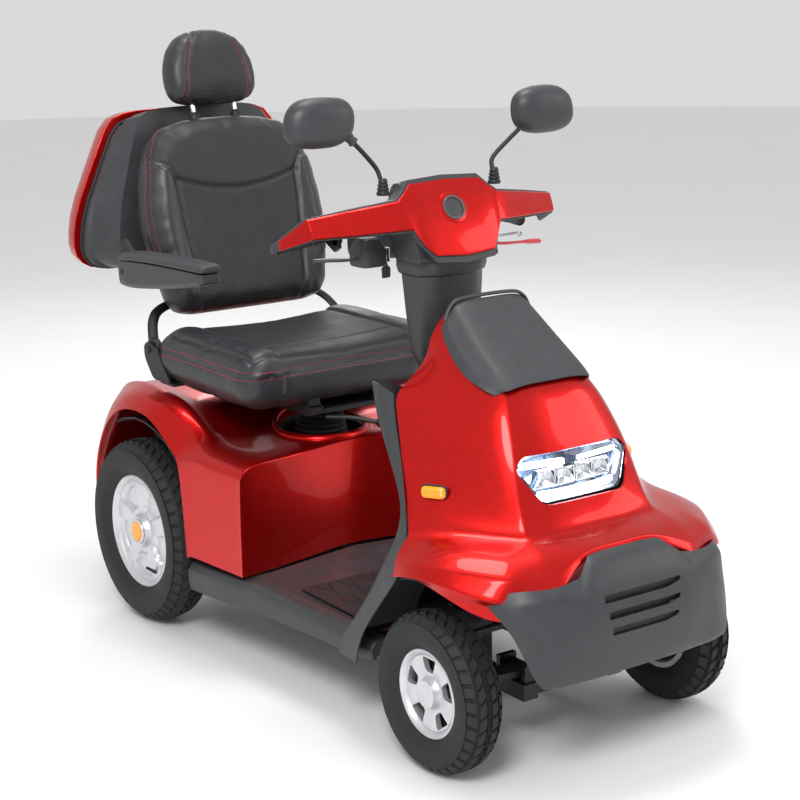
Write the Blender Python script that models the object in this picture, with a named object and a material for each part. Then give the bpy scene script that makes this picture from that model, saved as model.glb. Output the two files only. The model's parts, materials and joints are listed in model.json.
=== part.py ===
"""Four-wheeled mobility scooter as an assembly of separate pieces, in metres, +Z up.

The front of the scooter faces -Y and the rider's right hand is at -X. Every place below is
given from a datum on the ground between the wheels, which the empty "datum" moves so that
the middle of the whole scooter's box stands over the origin.
"""

import math

import bmesh
import bpy
from mathutils import Matrix, Vector

# Driving dimensions -------------------------------------------------------------------
DATUM_Y = 0.0025  # datum to the middle of the overall length
FRONT_AXLE_Y = -0.597
REAR_AXLE_Y = 0.463
FRONT_TYRE_R = 0.153
REAR_TYRE_R = 0.208
FRONT_TYRE_W = 0.084
REAR_TYRE_W = 0.102
FRONT_WHEEL_X = 0.284
REAR_WHEEL_X = 0.302
FRONT_RIM_R = 0.090
REAR_RIM_R = 0.134
ARM_PIVOT_X = 0.085
KINGPIN_X = 0.222
ARM_Z = 0.150
TAIL_PIVOT = (0.0, 0.275, 0.165)
STEER_FOOT = (0.0, -0.300, 0.200)
TILT_PIVOT = (0.0, -0.250, 0.640)
POST_Y = 0.215
POST_R = 0.026
SEAT_SLIDE_Z = 0.536
RECLINE = (0.0, 0.495, 0.612)
BACK_LEAN = math.radians(15.0)
ARMREST_HINGE = (0.0, 0.535, 0.800)
BOX_HINGE = (0.0, 0.745, 0.757)
PANEL_WALL = 0.004
SIDES = (("right", -1), ("left", 1))


# Helpers ------------------------------------------------------------------------------
def material(name, colour, roughness, metallic=0.0):
    made = bpy.data.materials.new(name)
    made.use_nodes = True
    shader = made.node_tree.nodes["Principled BSDF"]
    shader.inputs["Base Color"].default_value = (*colour, 1.0)
    shader.inputs["Roughness"].default_value = roughness
    shader.inputs["Metallic"].default_value = metallic
    return made


def place(name, bm, look, origin=(0.0, 0.0, 0.0), smooth=40.0):
    """One object for this shape, with its own origin and its own material."""
    bmesh.ops.recalc_face_normals(bm, faces=bm.faces)
    return place_skin(name, bm, look, origin, smooth)


def place_skin(name, bm, look, origin=(0.0, 0.0, 0.0), smooth=40.0):
    bmesh.ops.translate(bm, verts=bm.verts, vec=-Vector(origin))
    mesh = bpy.data.meshes.new(name)
    bm.to_mesh(mesh)
    bm.free()
    mesh.shade_smooth()
    mesh.set_sharp_from_angle(angle=math.radians(smooth))
    mesh.materials.append(material(name, *look))
    obj = bpy.data.objects.new(name, mesh)
    obj.location = origin
    obj.parent = DATUM
    bpy.context.scene.collection.objects.link(obj)
    return obj


def add_box(bm, centre, size, turn=None):
    made = bmesh.ops.create_cube(bm, size=1.0)
    matrix = Matrix.Translation(centre) @ (turn or Matrix()) @ Matrix.Diagonal((*size, 1.0))
    bmesh.ops.transform(bm, matrix=matrix, verts=made["verts"])


def box(centre, size, turn=None, bevel=0.0):
    bm = bmesh.new()
    add_box(bm, centre, size, turn)
    if bevel:
        bmesh.ops.bevel(bm, geom=bm.edges[:], offset=bevel, segments=1, affect="EDGES")
    return bm


def loft(rings, closed=True, caps=True):
    """A skin over rings of points, which becomes a solid when both ends are capped."""
    bm = bmesh.new()
    verts = [[bm.verts.new(p) for p in ring] for ring in rings]
    count = len(rings[0])
    for first, second in zip(verts, verts[1:]):
        for i in range(count if closed else count - 1):
            j = (i + 1) % count
            bm.faces.new((first[i], first[j], second[j], second[i]))
    if caps:
        bm.faces.new(verts[0][::-1])
        bm.faces.new(verts[-1])
    return bm


def turned(profile, steps, centre, axis="X"):
    """A solid of revolution: the closed profile holds (distance along the axis, radius)."""
    rings = []
    for k in range(steps):
        angle = 2 * math.pi * k / steps
        ring = []
        for along, radius in profile:
            across, up = radius * math.cos(angle), radius * math.sin(angle)
            local = {"X": (along, across, up), "Y": (across, along, up), "Z": (across, up, along)}[axis]
            ring.append(Vector(centre) + Vector(local))
        rings.append(ring)
    bm = loft(rings + [rings[0]], caps=False)
    bmesh.ops.remove_doubles(bm, verts=bm.verts, dist=1e-5)
    return bm


def rod(start, end, radius, sides=12):
    """A round bar between two points."""
    start, end = Vector(start), Vector(end)
    return sweep((start, end), radius, sides)


def sweep(points, radius, sides=10):
    """A round bar along a bent line."""
    points = [Vector(p) for p in points]
    rings = []
    ahead = (points[1] - points[0]).normalized()
    across = ahead.orthogonal().normalized()
    for i, point in enumerate(points):
        before = (point - points[i - 1]).normalized() if i else ahead
        after = (points[i + 1] - point).normalized() if i + 1 < len(points) else before
        along = (before + after).normalized()
        across = (across - along * across.dot(along)).normalized()
        other = along.cross(across)
        turns = [2 * math.pi * k / sides for k in range(sides)]
        rings.append([point + radius * (math.cos(a) * across + math.sin(a) * other) for a in turns])
    return loft(rings)


def prism(outline, axis, low, high):
    """An outline in the two other axes, in X, Y, Z order, extruded along this one."""
    rings = []
    for along in (low, high):
        places = {
            "X": [(along, a, b) for a, b in outline],
            "Y": [(a, along, b) for a, b in outline],
            "Z": [(a, b, along) for a, b in outline],
        }
        rings.append(places[axis])
    return loft(rings)


def combined(first, others, operation="UNION"):
    """The shapes joined into one body, or the others cut from the first."""
    pieces = []
    for bm in (first, *others):
        bmesh.ops.recalc_face_normals(bm, faces=bm.faces)
        mesh = bpy.data.meshes.new("piece")
        bm.to_mesh(mesh)
        bm.free()
        obj = bpy.data.objects.new("piece", mesh)
        bpy.context.scene.collection.objects.link(obj)
        pieces.append(obj)
    base = pieces[0]
    for other in pieces[1:]:
        step = base.modifiers.new("join", "BOOLEAN")
        step.operation = operation
        step.object = other
    graph = bpy.context.evaluated_depsgraph_get()
    joined = bmesh.new()
    joined.from_object(base, graph)
    for obj in pieces:
        bpy.data.objects.remove(obj)
    return joined


def cage(patches, creases=()):
    """Quad patches over the right half, joined, mirrored and facing up."""
    bm = bmesh.new()
    for rows in patches:
        verts = [[bm.verts.new(p) for p in row] for row in rows]
        for first, second in zip(verts, verts[1:]):
            for i in range(len(first) - 1):
                bm.faces.new((first[i], first[i + 1], second[i + 1], second[i]))
    bmesh.ops.remove_doubles(bm, verts=bm.verts, dist=1e-5)
    bmesh.ops.mirror(bm, geom=bm.verts[:] + bm.edges[:] + bm.faces[:], merge_dist=1e-5, axis="X")
    bmesh.ops.recalc_face_normals(bm, faces=bm.faces)
    bm.faces.ensure_lookup_table()
    top = max(bm.faces, key=lambda face: face.calc_center_median().z)
    if top.normal.z < 0:
        bmesh.ops.reverse_faces(bm, faces=bm.faces)
    layer = bm.edges.layers.float.new("crease_edge")
    for line, sharpness in creases:
        marked = [Vector(p) for p in line]
        for edge in bm.edges:
            ends = [Vector((-abs(v.co.x), v.co.y, v.co.z)) for v in edge.verts]
            if all(min((end - p).length for p in marked) < 1e-5 for end in ends):
                edge[layer] = sharpness
    return bm


def shell(name, bm, look, wall=PANEL_WALL, levels=1):
    obj = place_skin(name, bm, look)
    if levels:
        smooth = obj.modifiers.new("round", "SUBSURF")
        smooth.levels = levels
        smooth.render_levels = levels
    thick = obj.modifiers.new("wall", "SOLIDIFY")
    thick.thickness = wall
    thick.offset = -1.0
    return obj


def cut(obj, cutter_bm):
    """Leaves a hidden cutter beside the object, which the Boolean takes away from it."""
    bmesh.ops.recalc_face_normals(cutter_bm, faces=cutter_bm.faces)
    mesh = bpy.data.meshes.new(obj.name + "_cutter")
    cutter_bm.to_mesh(mesh)
    cutter_bm.free()
    cutter = bpy.data.objects.new(obj.name + "_cutter", mesh)
    cutter.parent = DATUM
    cutter.hide_render = True
    cutter.display_type = "WIRE"
    bpy.context.scene.collection.objects.link(cutter)
    step = obj.modifiers.new("cut", "BOOLEAN")
    step.operation = "DIFFERENCE"
    step.object = cutter


RED = ((0.55, 0.012, 0.016), 0.22)
DARK = ((0.055, 0.058, 0.062), 0.55)
BLACK = ((0.018, 0.018, 0.020), 0.6)
RUBBER = ((0.03, 0.03, 0.032), 0.85)
VINYL = ((0.045, 0.047, 0.050), 0.6)
STEEL = ((0.06, 0.06, 0.065), 0.45, 0.7)
SILVER = ((0.62, 0.63, 0.64), 0.4, 0.8)
CHROME = ((0.75, 0.75, 0.76), 0.15, 1.0)
AMBER = ((0.9, 0.32, 0.02), 0.3)
LENS = ((0.85, 0.88, 0.92), 0.1)
LAMP_RED = ((0.5, 0.01, 0.01), 0.25)


# Chassis ------------------------------------------------------------------------------
def chassis_frame():
    """Box-section rails, the seat post's socket, the steering head and the spring seats."""
    rail = 0.034
    parts = []
    for side in (-1, 1):
        parts.append(box((0.105 * side, -0.2025, 0.120), (rail, 0.885, 0.032)))
        for y in (-0.6345, -0.5595):
            parts.append(box((0.095 * side, y, 0.148), (0.040, 0.011, 0.044)))
        parts.append(box((0.2085 * side, 0.2345, 0.234), (rail, rail, 0.252)))
        parts.append(box((0.105 * side, 0.443, 0.343), (rail, 0.450, rail)))
        parts.append(box((0.090 * side, -0.480, 0.190), (0.026, 0.026, 0.12)))
        parts.append(box((0.150 * side, 0.2515, 0.156), (0.010, 0.078, 0.062)))
    for y, z, size in (
        (-0.620, 0.120, (0.200, 0.028, 0.026)),
        (-0.300, 0.125, (0.230, 0.060, 0.028)),
        (0.2345, 0.125, (0.440, 0.034, 0.028)),
        (0.2345, 0.343, (0.430, 0.082, 0.028)),
        (0.650, 0.343, (0.230, 0.030, 0.028)),
        (0.405, 0.369, (0.350, 0.045, 0.020)),
        (-0.480, 0.240, (0.206, 0.030, 0.024)),
    ):
        parts.append(box((0, y, z), size))
    parts.append(rod((0, POST_Y, 0.331), (0, POST_Y, 0.436), 0.036, 16))
    foot = Vector(STEER_FOOT)
    lean = (Vector(TILT_PIVOT) - foot).normalized()
    parts.append(rod(foot - lean * 0.088, foot + lean * 0.06, 0.026, 16))
    frame = combined(parts[0], parts[1:])
    bores = [
        rod((0, POST_Y, 0.30), (0, POST_Y, 0.50), POST_R + 0.0006, 16),
        rod(foot - lean * 0.2, foot + lean * 0.2, 0.0145, 12),
        rod((-0.2, TAIL_PIVOT[1], TAIL_PIVOT[2]), (0.2, TAIL_PIVOT[1], TAIL_PIVOT[2]), 0.0136, 12),
    ]
    place("chassis_frame", combined(frame, bores, "DIFFERENCE"), STEEL)


def rear_body():
    """The red seat base: a deck, a bowed front, flat sides and a fender over each wheel."""
    def front_y(x):
        return 0.035 + 0.06 * (1 - abs(x) / 0.33)

    deck = (  # y, z of the deck's middle, then the crest, the flare and the lip
        (0.150, 0.444, (0.262, 0.150, 0.449), (0.300, 0.150, 0.441), (0.322, 0.150, 0.425)),
        (0.225, 0.446, (0.262, 0.225, 0.456), (0.302, 0.228, 0.446), (0.328, 0.235, 0.425)),
        (0.270, 0.452, (0.262, 0.270, 0.475), (0.306, 0.278, 0.458), (0.333, 0.280, 0.418)),
        (0.310, 0.472, (0.262, 0.310, 0.497), (0.308, 0.318, 0.486), (0.335, 0.325, 0.450)),
        (0.360, 0.498, (0.264, 0.362, 0.519), (0.312, 0.370, 0.510), (0.337, 0.375, 0.480)),
        (0.435, 0.510, (0.266, 0.438, 0.530), (0.315, 0.440, 0.519), (0.338, 0.440, 0.491)),
        (0.520, 0.514, (0.266, 0.520, 0.532), (0.315, 0.523, 0.514), (0.338, 0.525, 0.478)),
        (0.605, 0.510, (0.264, 0.603, 0.518), (0.312, 0.600, 0.480), (0.337, 0.600, 0.427)),
        (0.665, 0.485, (0.262, 0.660, 0.480), (0.310, 0.652, 0.420), (0.336, 0.645, 0.362)),
        (0.698, 0.380, (0.262, 0.692, 0.375), (0.308, 0.684, 0.335), (0.334, 0.668, 0.300)),
        (0.703, 0.270, (0.262, 0.698, 0.265), (0.306, 0.692, 0.256), (0.331, 0.676, 0.250)),
    )
    inner = (0.0, 0.105, 0.205)
    rows = []
    for back, z, flare_z, edge_z in ((0.0, 0.440, 0.434, 0.420), (0.022, 0.444, 0.438, 0.424)):
        row = [(x, front_y(x) + back, z) for x in (*inner, 0.262)]
        row.append((0.298, front_y(0.298) + back, flare_z))
        row.append((0.314, 0.038 + back, edge_z))
        rows.append(row)
    for y, z, crest, flare, lip in deck:
        rows.append([(x, y, z) for x in inner] + [crest, flare, lip])
    lower = ((0.316, 0.395), (0.3175, 0.300), (0.3175, 0.2060))
    edge_rows = [[rows[0][-1]] + [(x, 0.040, z) for x, z in lower]]
    edge_rows.append([rows[1][-1]] + [(x + 0.001, 0.062, z) for x, z in lower])
    edge_rows.append([rows[2][-1]] + [(x + 0.008, 0.150, z) for x, z in lower])
    edge_rows.append([rows[3][-1]] + [(x + 0.015, 0.228, z) for x, z in lower])
    arch_front = ((0.335, 0.264, 0.385), (0.335, 0.253, 0.300), (0.334, 0.246, 0.198))
    edge_rows.append([rows[4][-1], *arch_front])
    front = [rows[0]]
    for k, (x, z) in enumerate(lower):
        middle = [(c, front_y(c), z) for c in (*inner, 0.262)]
        front.append(middle + [(0.298, front_y(0.298), z), edge_rows[0][k + 1]])
    flip = [[[(-x, y, z) for x, y, z in row] for row in patch] for patch in (rows, edge_rows, front)]
    obj = shell("rear_body", cage(flip), RED)
    cut(obj, rod((0, POST_Y, 0.36), (0, POST_Y, 0.60), 0.098, 24))


def arch_liner(name, side):
    """A dark bucket round the inner side of a rear wheel."""
    profile = [
        (0.229, 0.120), (0.232, 0.120), (0.232, 0.256),
        (0.322, 0.256), (0.322, 0.259), (0.229, 0.259),
    ]
    rings = []
    for k in range(11):
        angle = math.radians(4 + 114 * k / 10)
        y, z = -math.cos(angle), math.sin(angle)
        rings.append([(side * x, REAR_AXLE_Y + r * y, REAR_TYRE_R + r * z) for x, r in profile])
    place(name, loft(rings), BLACK)


def floor_tray():
    """The dark floor with its sills and the rounded roll at the back of the footwell."""
    def half(y, deck, rim, width, low):
        """Half a section from the middle of the deck round the sill to the underside."""
        return [
            (0.0, y, deck), (width - 0.075, y, deck), (width - 0.052, y, (deck + rim) / 2),
            (width - 0.035, y, rim), (width - 0.012, y, rim - 0.004), (width - 0.001, y, rim - 0.018),
            (width, y, (rim + low) / 2), (width - 0.004, y, low), (width - 0.014, y, low),
            (width - 0.014, y, deck - 0.022), (0.0, y, deck - 0.014),
        ]

    stations = (
        (-0.392, 0.177, 0.190, 0.292, 0.147, 0.0),
        (-0.330, 0.178, 0.196, 0.300, 0.145, 0.0),
        (-0.150, 0.180, 0.199, 0.308, 0.142, 0.1),
        (-0.020, 0.181, 0.201, 0.315, 0.138, 0.7),
        (0.008, 0.199, 0.207, 0.317, 0.137, 1.0),
        (0.030, 0.203, 0.204, 0.3185, 0.136, 1.0),
        (0.062, 0.190, 0.1985, 0.322, 0.134, 1.0),
        (0.130, 0.176, 0.1965, 0.329, 0.131, 0.2),
        (0.244, 0.176, 0.193, 0.336, 0.128, 0.0),
    )
    rings = []
    for y, deck, rim, width, low, bow in stations:
        points = half(y, deck, rim, width, low)
        right = [(-x, py + bow * 0.055 * (1 - x / 0.33), z) for x, py, z in points]
        left = [(-x, py, z) for x, py, z in right[-2:0:-1]]
        rings.append(right + left)
    tray = combined(loft(rings), [
        box((0, -0.300, 0.170), (0.070, 0.080, 0.10)),
        box((0, 0.250, 0.160), (0.470, 0.300, 0.20)),
    ], "DIFFERENCE")
    place("floor_tray", tray, DARK)


def floor_mat():
    """A rubber mat in the footwell, laid on the floor."""
    outline = [(-0.232, -0.262), (-0.228, -0.040), (0.228, -0.040), (0.232, -0.262)]
    place("floor_mat", prism(outline, "Z", 0.1825, 0.1875), RUBBER)


def cowl_rows():
    """Rows of the red front cowl from its top rim down to the fender lips, centre first."""
    return [
        [(0, -.375, .806), (.050, -.375, .805), (.088, -.372, .798), (.102, -.370, .784),
         (.112, -.366, .768), (.118, -.362, .752)],
        [(0, -.400, .793), (.050, -.400, .792), (.092, -.398, .784), (.110, -.392, .762),
         (.124, -.380, .735), (.134, -.366, .718)],
        [(0, -.485, .742), (.055, -.485, .741), (.098, -.482, .732), (.124, -.466, .706),
         (.152, -.420, .690), (.172, -.368, .682)],
        [(0, -.566, .690), (.060, -.566, .689), (.101, -.562, .680), (.130, -.540, .664),
         (.172, -.460, .650), (.206, -.372, .656)],
        [(0, -.598, .650), (.065, -.598, .649), (.112, -.592, .641), (.142, -.566, .630),
         (.188, -.482, .615), (.220, -.394, .612)],
        [(0, -.640, .582), (.075, -.639, .581), (.130, -.630, .573), (.160, -.600, .564),
         (.206, -.516, .552), (.240, -.432, .549)],
        [(0, -.672, .506), (.080, -.671, .505), (.143, -.660, .500), (.174, -.628, .492),
         (.226, -.548, .485), (.262, -.472, .484)],
        [(0, -.696, .455), (.082, -.695, .455), (.150, -.686, .452), (.184, -.646, .450),
         (.240, -.574, .448), (.282, -.508, .444)],
        [(0, -.712, .440), (.085, -.711, .440), (.158, -.704, .438), (.196, -.664, .437),
         (.254, -.594, .436), (.296, -.522, .430)],
        [(0, -.745, .432), (.085, -.745, .432), (.165, -.748, .422), (.228, -.712, .422),
         (.286, -.620, .426), (.312, -.524, .414)],
        [(0, -.768, .424), (.085, -.770, .422), (.165, -.786, .394), (.248, -.750, .398),
         (.322, -.632, .406), (.326, -.526, .394)],
        [(0, -.774, .412), (.086, -.776, .408), (.160, -.799, .377), (.274, -.750, .361),
         (.334, -.640, .385), (.334, -.530, .366)],
    ]


def front_cowl():
    rows = [[(-x, y, z) for x, y, z in row] for row in cowl_rows()]
    ridge = [row[2] for row in rows]
    valley = rows[8]
    obj = shell("front_cowl", cage([rows], ((ridge, 0.35), (valley, 0.55))), RED)
    cut(obj, lamp_opening(0.0))


def lamp_outline(grow):
    """The headlight's outline across the front, wider above than below."""
    top, low = 0.568 + grow, 0.492 - grow
    return [
        (-0.128 - grow, top - 0.020), (-0.116 - grow, top), (0.116 + grow, top),
        (0.128 + grow, top - 0.020), (0.108 + grow, low + 0.006), (0.094 + grow, low),
        (-0.094 - grow, low), (-0.108 - grow, low + 0.006),
    ]


def lamp_opening(grow):
    return prism(lamp_outline(grow), "Y", -0.74, -0.56)


def headlight():
    housing = prism(lamp_outline(-0.0015), "Y", -0.625, -0.570)
    hollow = prism(lamp_outline(-0.0055), "Y", -0.66, -0.585)
    place("headlight_housing", combined(housing, [hollow], "DIFFERENCE"), CHROME)
    rings = []
    for base, lift in ((0.0, 0.004), (-0.004, 0.0)):
        ring = []
        for x, z in lamp_outline(-0.0015):
            y = -0.643 - (0.568 - z) * 0.36 + 0.9 * x * x + base
            ring.append((x, y, z))
        rings.append(ring)
    place("headlight_lens", loft(rings), LENS)


def leg_shield():
    """The dark trim along the cowl's rear edge, its arch leg and the panel facing the rider."""
    rows = [
        [(0, -.200, .628), (.060, -.200, .628), (.098, -.232, .632), (.150, -.285, .655),
         (.214, -.302, .672), (.218, -.330, .672), (.209, -.364, .658)],
        [(0, -.196, .600), (.060, -.196, .600), (.100, -.236, .600), (.155, -.305, .605),
         (.228, -.338, .610), (.234, -.360, .610), (.223, -.389, .612)],
        [(0, -.190, .520), (.060, -.190, .520), (.105, -.240, .520), (.165, -.345, .525),
         (.246, -.405, .535), (.254, -.420, .538), (.244, -.434, .549)],
        [(0, -.186, .440), (.060, -.186, .440), (.108, -.245, .440), (.175, -.380, .440),
         (.270, -.470, .455), (.280, -.482, .458), (.285, -.505, .444)],
        [(0, -.184, .370), (.060, -.184, .370), (.110, -.250, .370), (.180, -.385, .370),
         (.290, -.452, .375), (.306, -.466, .378), (.316, -.516, .388)],
        [(0, -.182, .300), (.060, -.182, .300), (.112, -.255, .300), (.182, -.370, .300),
         (.298, -.415, .305), (.314, -.428, .306), (.322, -.498, .330)],
        [(0, -.180, .235), (.060, -.180, .235), (.114, -.258, .235), (.182, -.350, .235),
         (.298, -.366, .240), (.315, -.378, .240), (.322, -.440, .262)],
        [(0, -.178, .192), (.060, -.178, .192), (.116, -.256, .192), (.182, -.335, .192),
         (.288, -.325, .204), (.312, -.330, .204), (.318, -.398, .210)],
    ]
    flip = [[(-x, y, z) for x, y, z in row] for row in rows]
    shell("leg_shield", cage([flip]), DARK, 0.003, 0)


def front_bumper():
    """The moulded front bumper, with a raised plate and side wings up to the fenders."""
    rows = [
        [(0, -.7790, .4200), (.055, -.7795, .4195), (.086, -.7810, .4160), (.124, -.8060, .3790),
         (.172, -.8050, .3740), (.225, -.7860, .3720), (.262, -.7620, .3620), (.285, -.7500, .3460)],
        [(0, -.8000, .4120), (.060, -.8000, .4110), (.096, -.8000, .4060), (.130, -.8140, .3740),
         (.176, -.8130, .3640), (.226, -.7930, .3580), (.260, -.7700, .3480), (.274, -.7580, .3360)],
        [(0, -.8300, .3700), (.060, -.8300, .3700), (.108, -.8290, .3660), (.138, -.8260, .3560),
         (.176, -.8150, .3460), (.214, -.7970, .3380), (.245, -.7780, .3270), (.260, -.7660, .3160)],
        [(0, -.8450, .3100), (.060, -.8450, .3100), (.112, -.8430, .3080), (.142, -.8370, .3040),
         (.172, -.8220, .2980), (.200, -.8040, .2930), (.226, -.7880, .2850), (.242, -.7760, .2760)],
        [(0, -.8440, .2500), (.060, -.8440, .2500), (.112, -.8420, .2490), (.140, -.8350, .2470),
         (.166, -.8200, .2440), (.188, -.8040, .2410), (.206, -.7910, .2370), (.220, -.7800, .2330)],
        [(0, -.8370, .2120), (.060, -.8370, .2120), (.108, -.8350, .2110), (.134, -.8280, .2110),
         (.154, -.8160, .2110), (.170, -.8030, .2110), (.184, -.7920, .2110), (.196, -.7840, .2120)],
        [(0, -.8160, .2010), (.060, -.8160, .2010), (.104, -.8140, .2010), (.126, -.8080, .2010),
         (.142, -.7990, .2010), (.156, -.7900, .2010), (.168, -.7830, .2020), (.180, -.7780, .2040)],
    ]
    flip = [[(-x, y, z) for x, y, z in row] for row in rows]
    shell("front_bumper", cage([flip]), DARK, 0.0035, 0)


def cowl_lid():
    """The dark grained cover over the top of the cowl, lifted clear of it by its own rim."""
    lift = 0.0052
    rows = []
    for y, z, wide, side_y, side_z, side_x in (
        (-0.374, 0.813, 0.086, -0.376, 0.786, 0.116),
        (-0.400, 0.800, 0.090, -0.398, 0.766, 0.124),
        (-0.485, 0.748, 0.096, -0.476, 0.716, 0.130),
        (-0.550, 0.706, 0.098, -0.536, 0.682, 0.126),
        (-0.576, 0.688, 0.098, -0.560, 0.674, 0.112),
    ):
        edge = (side_x + 0.008, side_y + 0.006, side_z + lift)
        skirt = 0.017 if y > -0.5 else 0.005
        rows.append([
            (0, y, z + lift), (-wide * 0.6, y, z + lift), (-wide, y + 0.002, z - 0.006 + lift),
            (-side_x, side_y, side_z + lift), (-edge[0], edge[1], edge[2] - skirt),
        ])
    shell("cowl_lid", cage([rows]), DARK, 0.003, 0)


def lamps():
    for name, side in SIDES:
        turn = Matrix.Rotation(-side * math.radians(30), 4, "Z")
        centre = Vector((side * 0.2525, -0.5455, 0.511))
        root = centre - Vector((side * 0.0190, -0.0110, 0))
        signal = box(centre, (0.012, 0.048, 0.022), turn, 0.004)
        place(f"side_signal_{name}", combined(signal, [rod(centre, root, 0.0070, 10)]), AMBER)
    place("tail_lamp", box((0, 0.7165, 0.400), (0.420, 0.020, 0.050), None, 0.005), LAMP_RED)


def power_pack():
    for name, side in SIDES:
        case = box((side * 0.0985, 0.158, 0.232), (0.165, 0.096, 0.178), None, 0.004)
        place(f"battery_{name}", case, BLACK)


# Rear drive ---------------------------------------------------------------------------
def transaxle():
    """Motor, gearbox and axle tubes on the trailing arms, turning about the front pivot."""
    px, py, pz = TAIL_PIVOT
    axle_z = REAR_TYRE_R
    parts = [
        rod((-0.215, REAR_AXLE_Y, axle_z), (0.215, REAR_AXLE_Y, axle_z), 0.024, 16),
        turned([(-0.035, 0.0), (-0.035, 0.062), (0.035, 0.062), (0.035, 0.0)], 20,
               (0, REAR_AXLE_Y, axle_z)),
        rod((0, REAR_AXLE_Y, axle_z), (0, REAR_AXLE_Y + 0.185, axle_z), 0.046, 16),
        rod((-0.180, py, pz), (0.180, py, pz), 0.013, 12),
    ]
    for side in (-1, 1):
        arm = [(py - 0.018, pz - 0.018), (REAR_AXLE_Y, axle_z - 0.040),
               (REAR_AXLE_Y + 0.03, axle_z - 0.02), (REAR_AXLE_Y + 0.03, axle_z + 0.02),
               (REAR_AXLE_Y - 0.03, axle_z + 0.03), (py - 0.018, pz + 0.018)]
        low, high = sorted((side * 0.180, side * 0.160))
        parts.append(prism(arm, "X", low, high))
    first = parts.pop(0)
    place("transaxle", combined(first, parts), STEEL, TAIL_PIVOT)


def rear_springs():
    """A coil over a damper on each trailing arm, drawn as its ribbed outer form."""
    for name, side in SIDES:
        profile = [(0.0, 0.0), (0.0, 0.014)]
        turns, low, high = 5, 0.008, 0.088
        for k in range(turns):
            base = low + (high - low) * k / turns
            profile += [(base, 0.017), (base + 0.005, 0.022), (base + 0.011, 0.022), (base + 0.0155, 0.017)]
        profile += [(0.094, 0.014), (0.094, 0.0)]
        spring = turned(profile, 10, (side * 0.170, 0.405, 0.2640), "Z")
        place(f"rear_spring_{name}", spring, BLACK)


def tyre_profile(radius, width, rim):
    """Half-round casing with a shouldered tread, closed at the bead."""
    half, wall = width / 2, radius - rim
    return [
        (-half * 0.66, rim - 0.004), (-half * 0.92, rim + wall * 0.28), (-half, rim + wall * 0.55),
        (-half * 0.90, radius - wall * 0.16), (-half * 0.55, radius - wall * 0.02), (0.0, radius),
        (half * 0.55, radius - wall * 0.02), (half * 0.90, radius - wall * 0.16),
        (half, rim + wall * 0.55), (half * 0.92, rim + wall * 0.28), (half * 0.66, rim - 0.004),
    ]


def rim_profile(width, rim, side, hub, web):
    """Barrel, web and hub of a cast wheel, with its hollow open to the inner side."""
    half = width * 0.33
    out = 1 if side > 0 else -1
    profile = [
        (out * half, rim - 0.0060), (out * half, rim - 0.012), (out * (web + 0.004), rim - 0.020),
        (out * web, rim * 0.6), (out * (web + 0.010), hub + 0.004), (out * (web + 0.014), hub),
        (out * (web + 0.014), 0.0), (out * (web - 0.030), 0.0), (out * (web - 0.030), hub + 0.004),
        (out * (web - 0.008), hub + 0.012), (out * (web - 0.008), rim - 0.024),
        (out * -half, rim - 0.017), (out * -half, rim - 0.0060),
    ]
    return profile


def wheel(place_name, side, centre, radius, width, rim, hub, web):
    tyre = turned(tyre_profile(radius, width, rim), 30, centre)
    place(f"{place_name}_tyre_{'right' if side < 0 else 'left'}", tyre, RUBBER, centre)
    cast = turned(rim_profile(width, rim, side, hub, web), 24, centre)
    windows = []
    for k in range(5):
        angle = 2 * math.pi * (k + 0.25) / 5
        middle = (hub + rim) * 0.52
        spot = Vector(centre) + Vector((0, middle * math.cos(angle), middle * math.sin(angle)))
        spin = Matrix.Rotation(angle, 4, "X")
        windows.append(box(spot, (0.2, (rim - hub) * 0.50, (rim - hub) * 0.52), spin))
    if place_name == "front":
        cast = combined(cast, windows, "DIFFERENCE")
    else:
        for window in windows:
            window.free()
    place(f"{place_name}_rim_{'right' if side < 0 else 'left'}", cast, SILVER, centre)


def wheels():
    for _, side in SIDES:
        wheel("rear", side, (side * REAR_WHEEL_X, REAR_AXLE_Y, REAR_TYRE_R),
              REAR_TYRE_R, REAR_TYRE_W, REAR_RIM_R, 0.036, 0.022)
        wheel("front", side, (side * FRONT_WHEEL_X, FRONT_AXLE_Y, FRONT_TYRE_R),
              FRONT_TYRE_R, FRONT_TYRE_W, FRONT_RIM_R, 0.026, 0.018)


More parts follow.
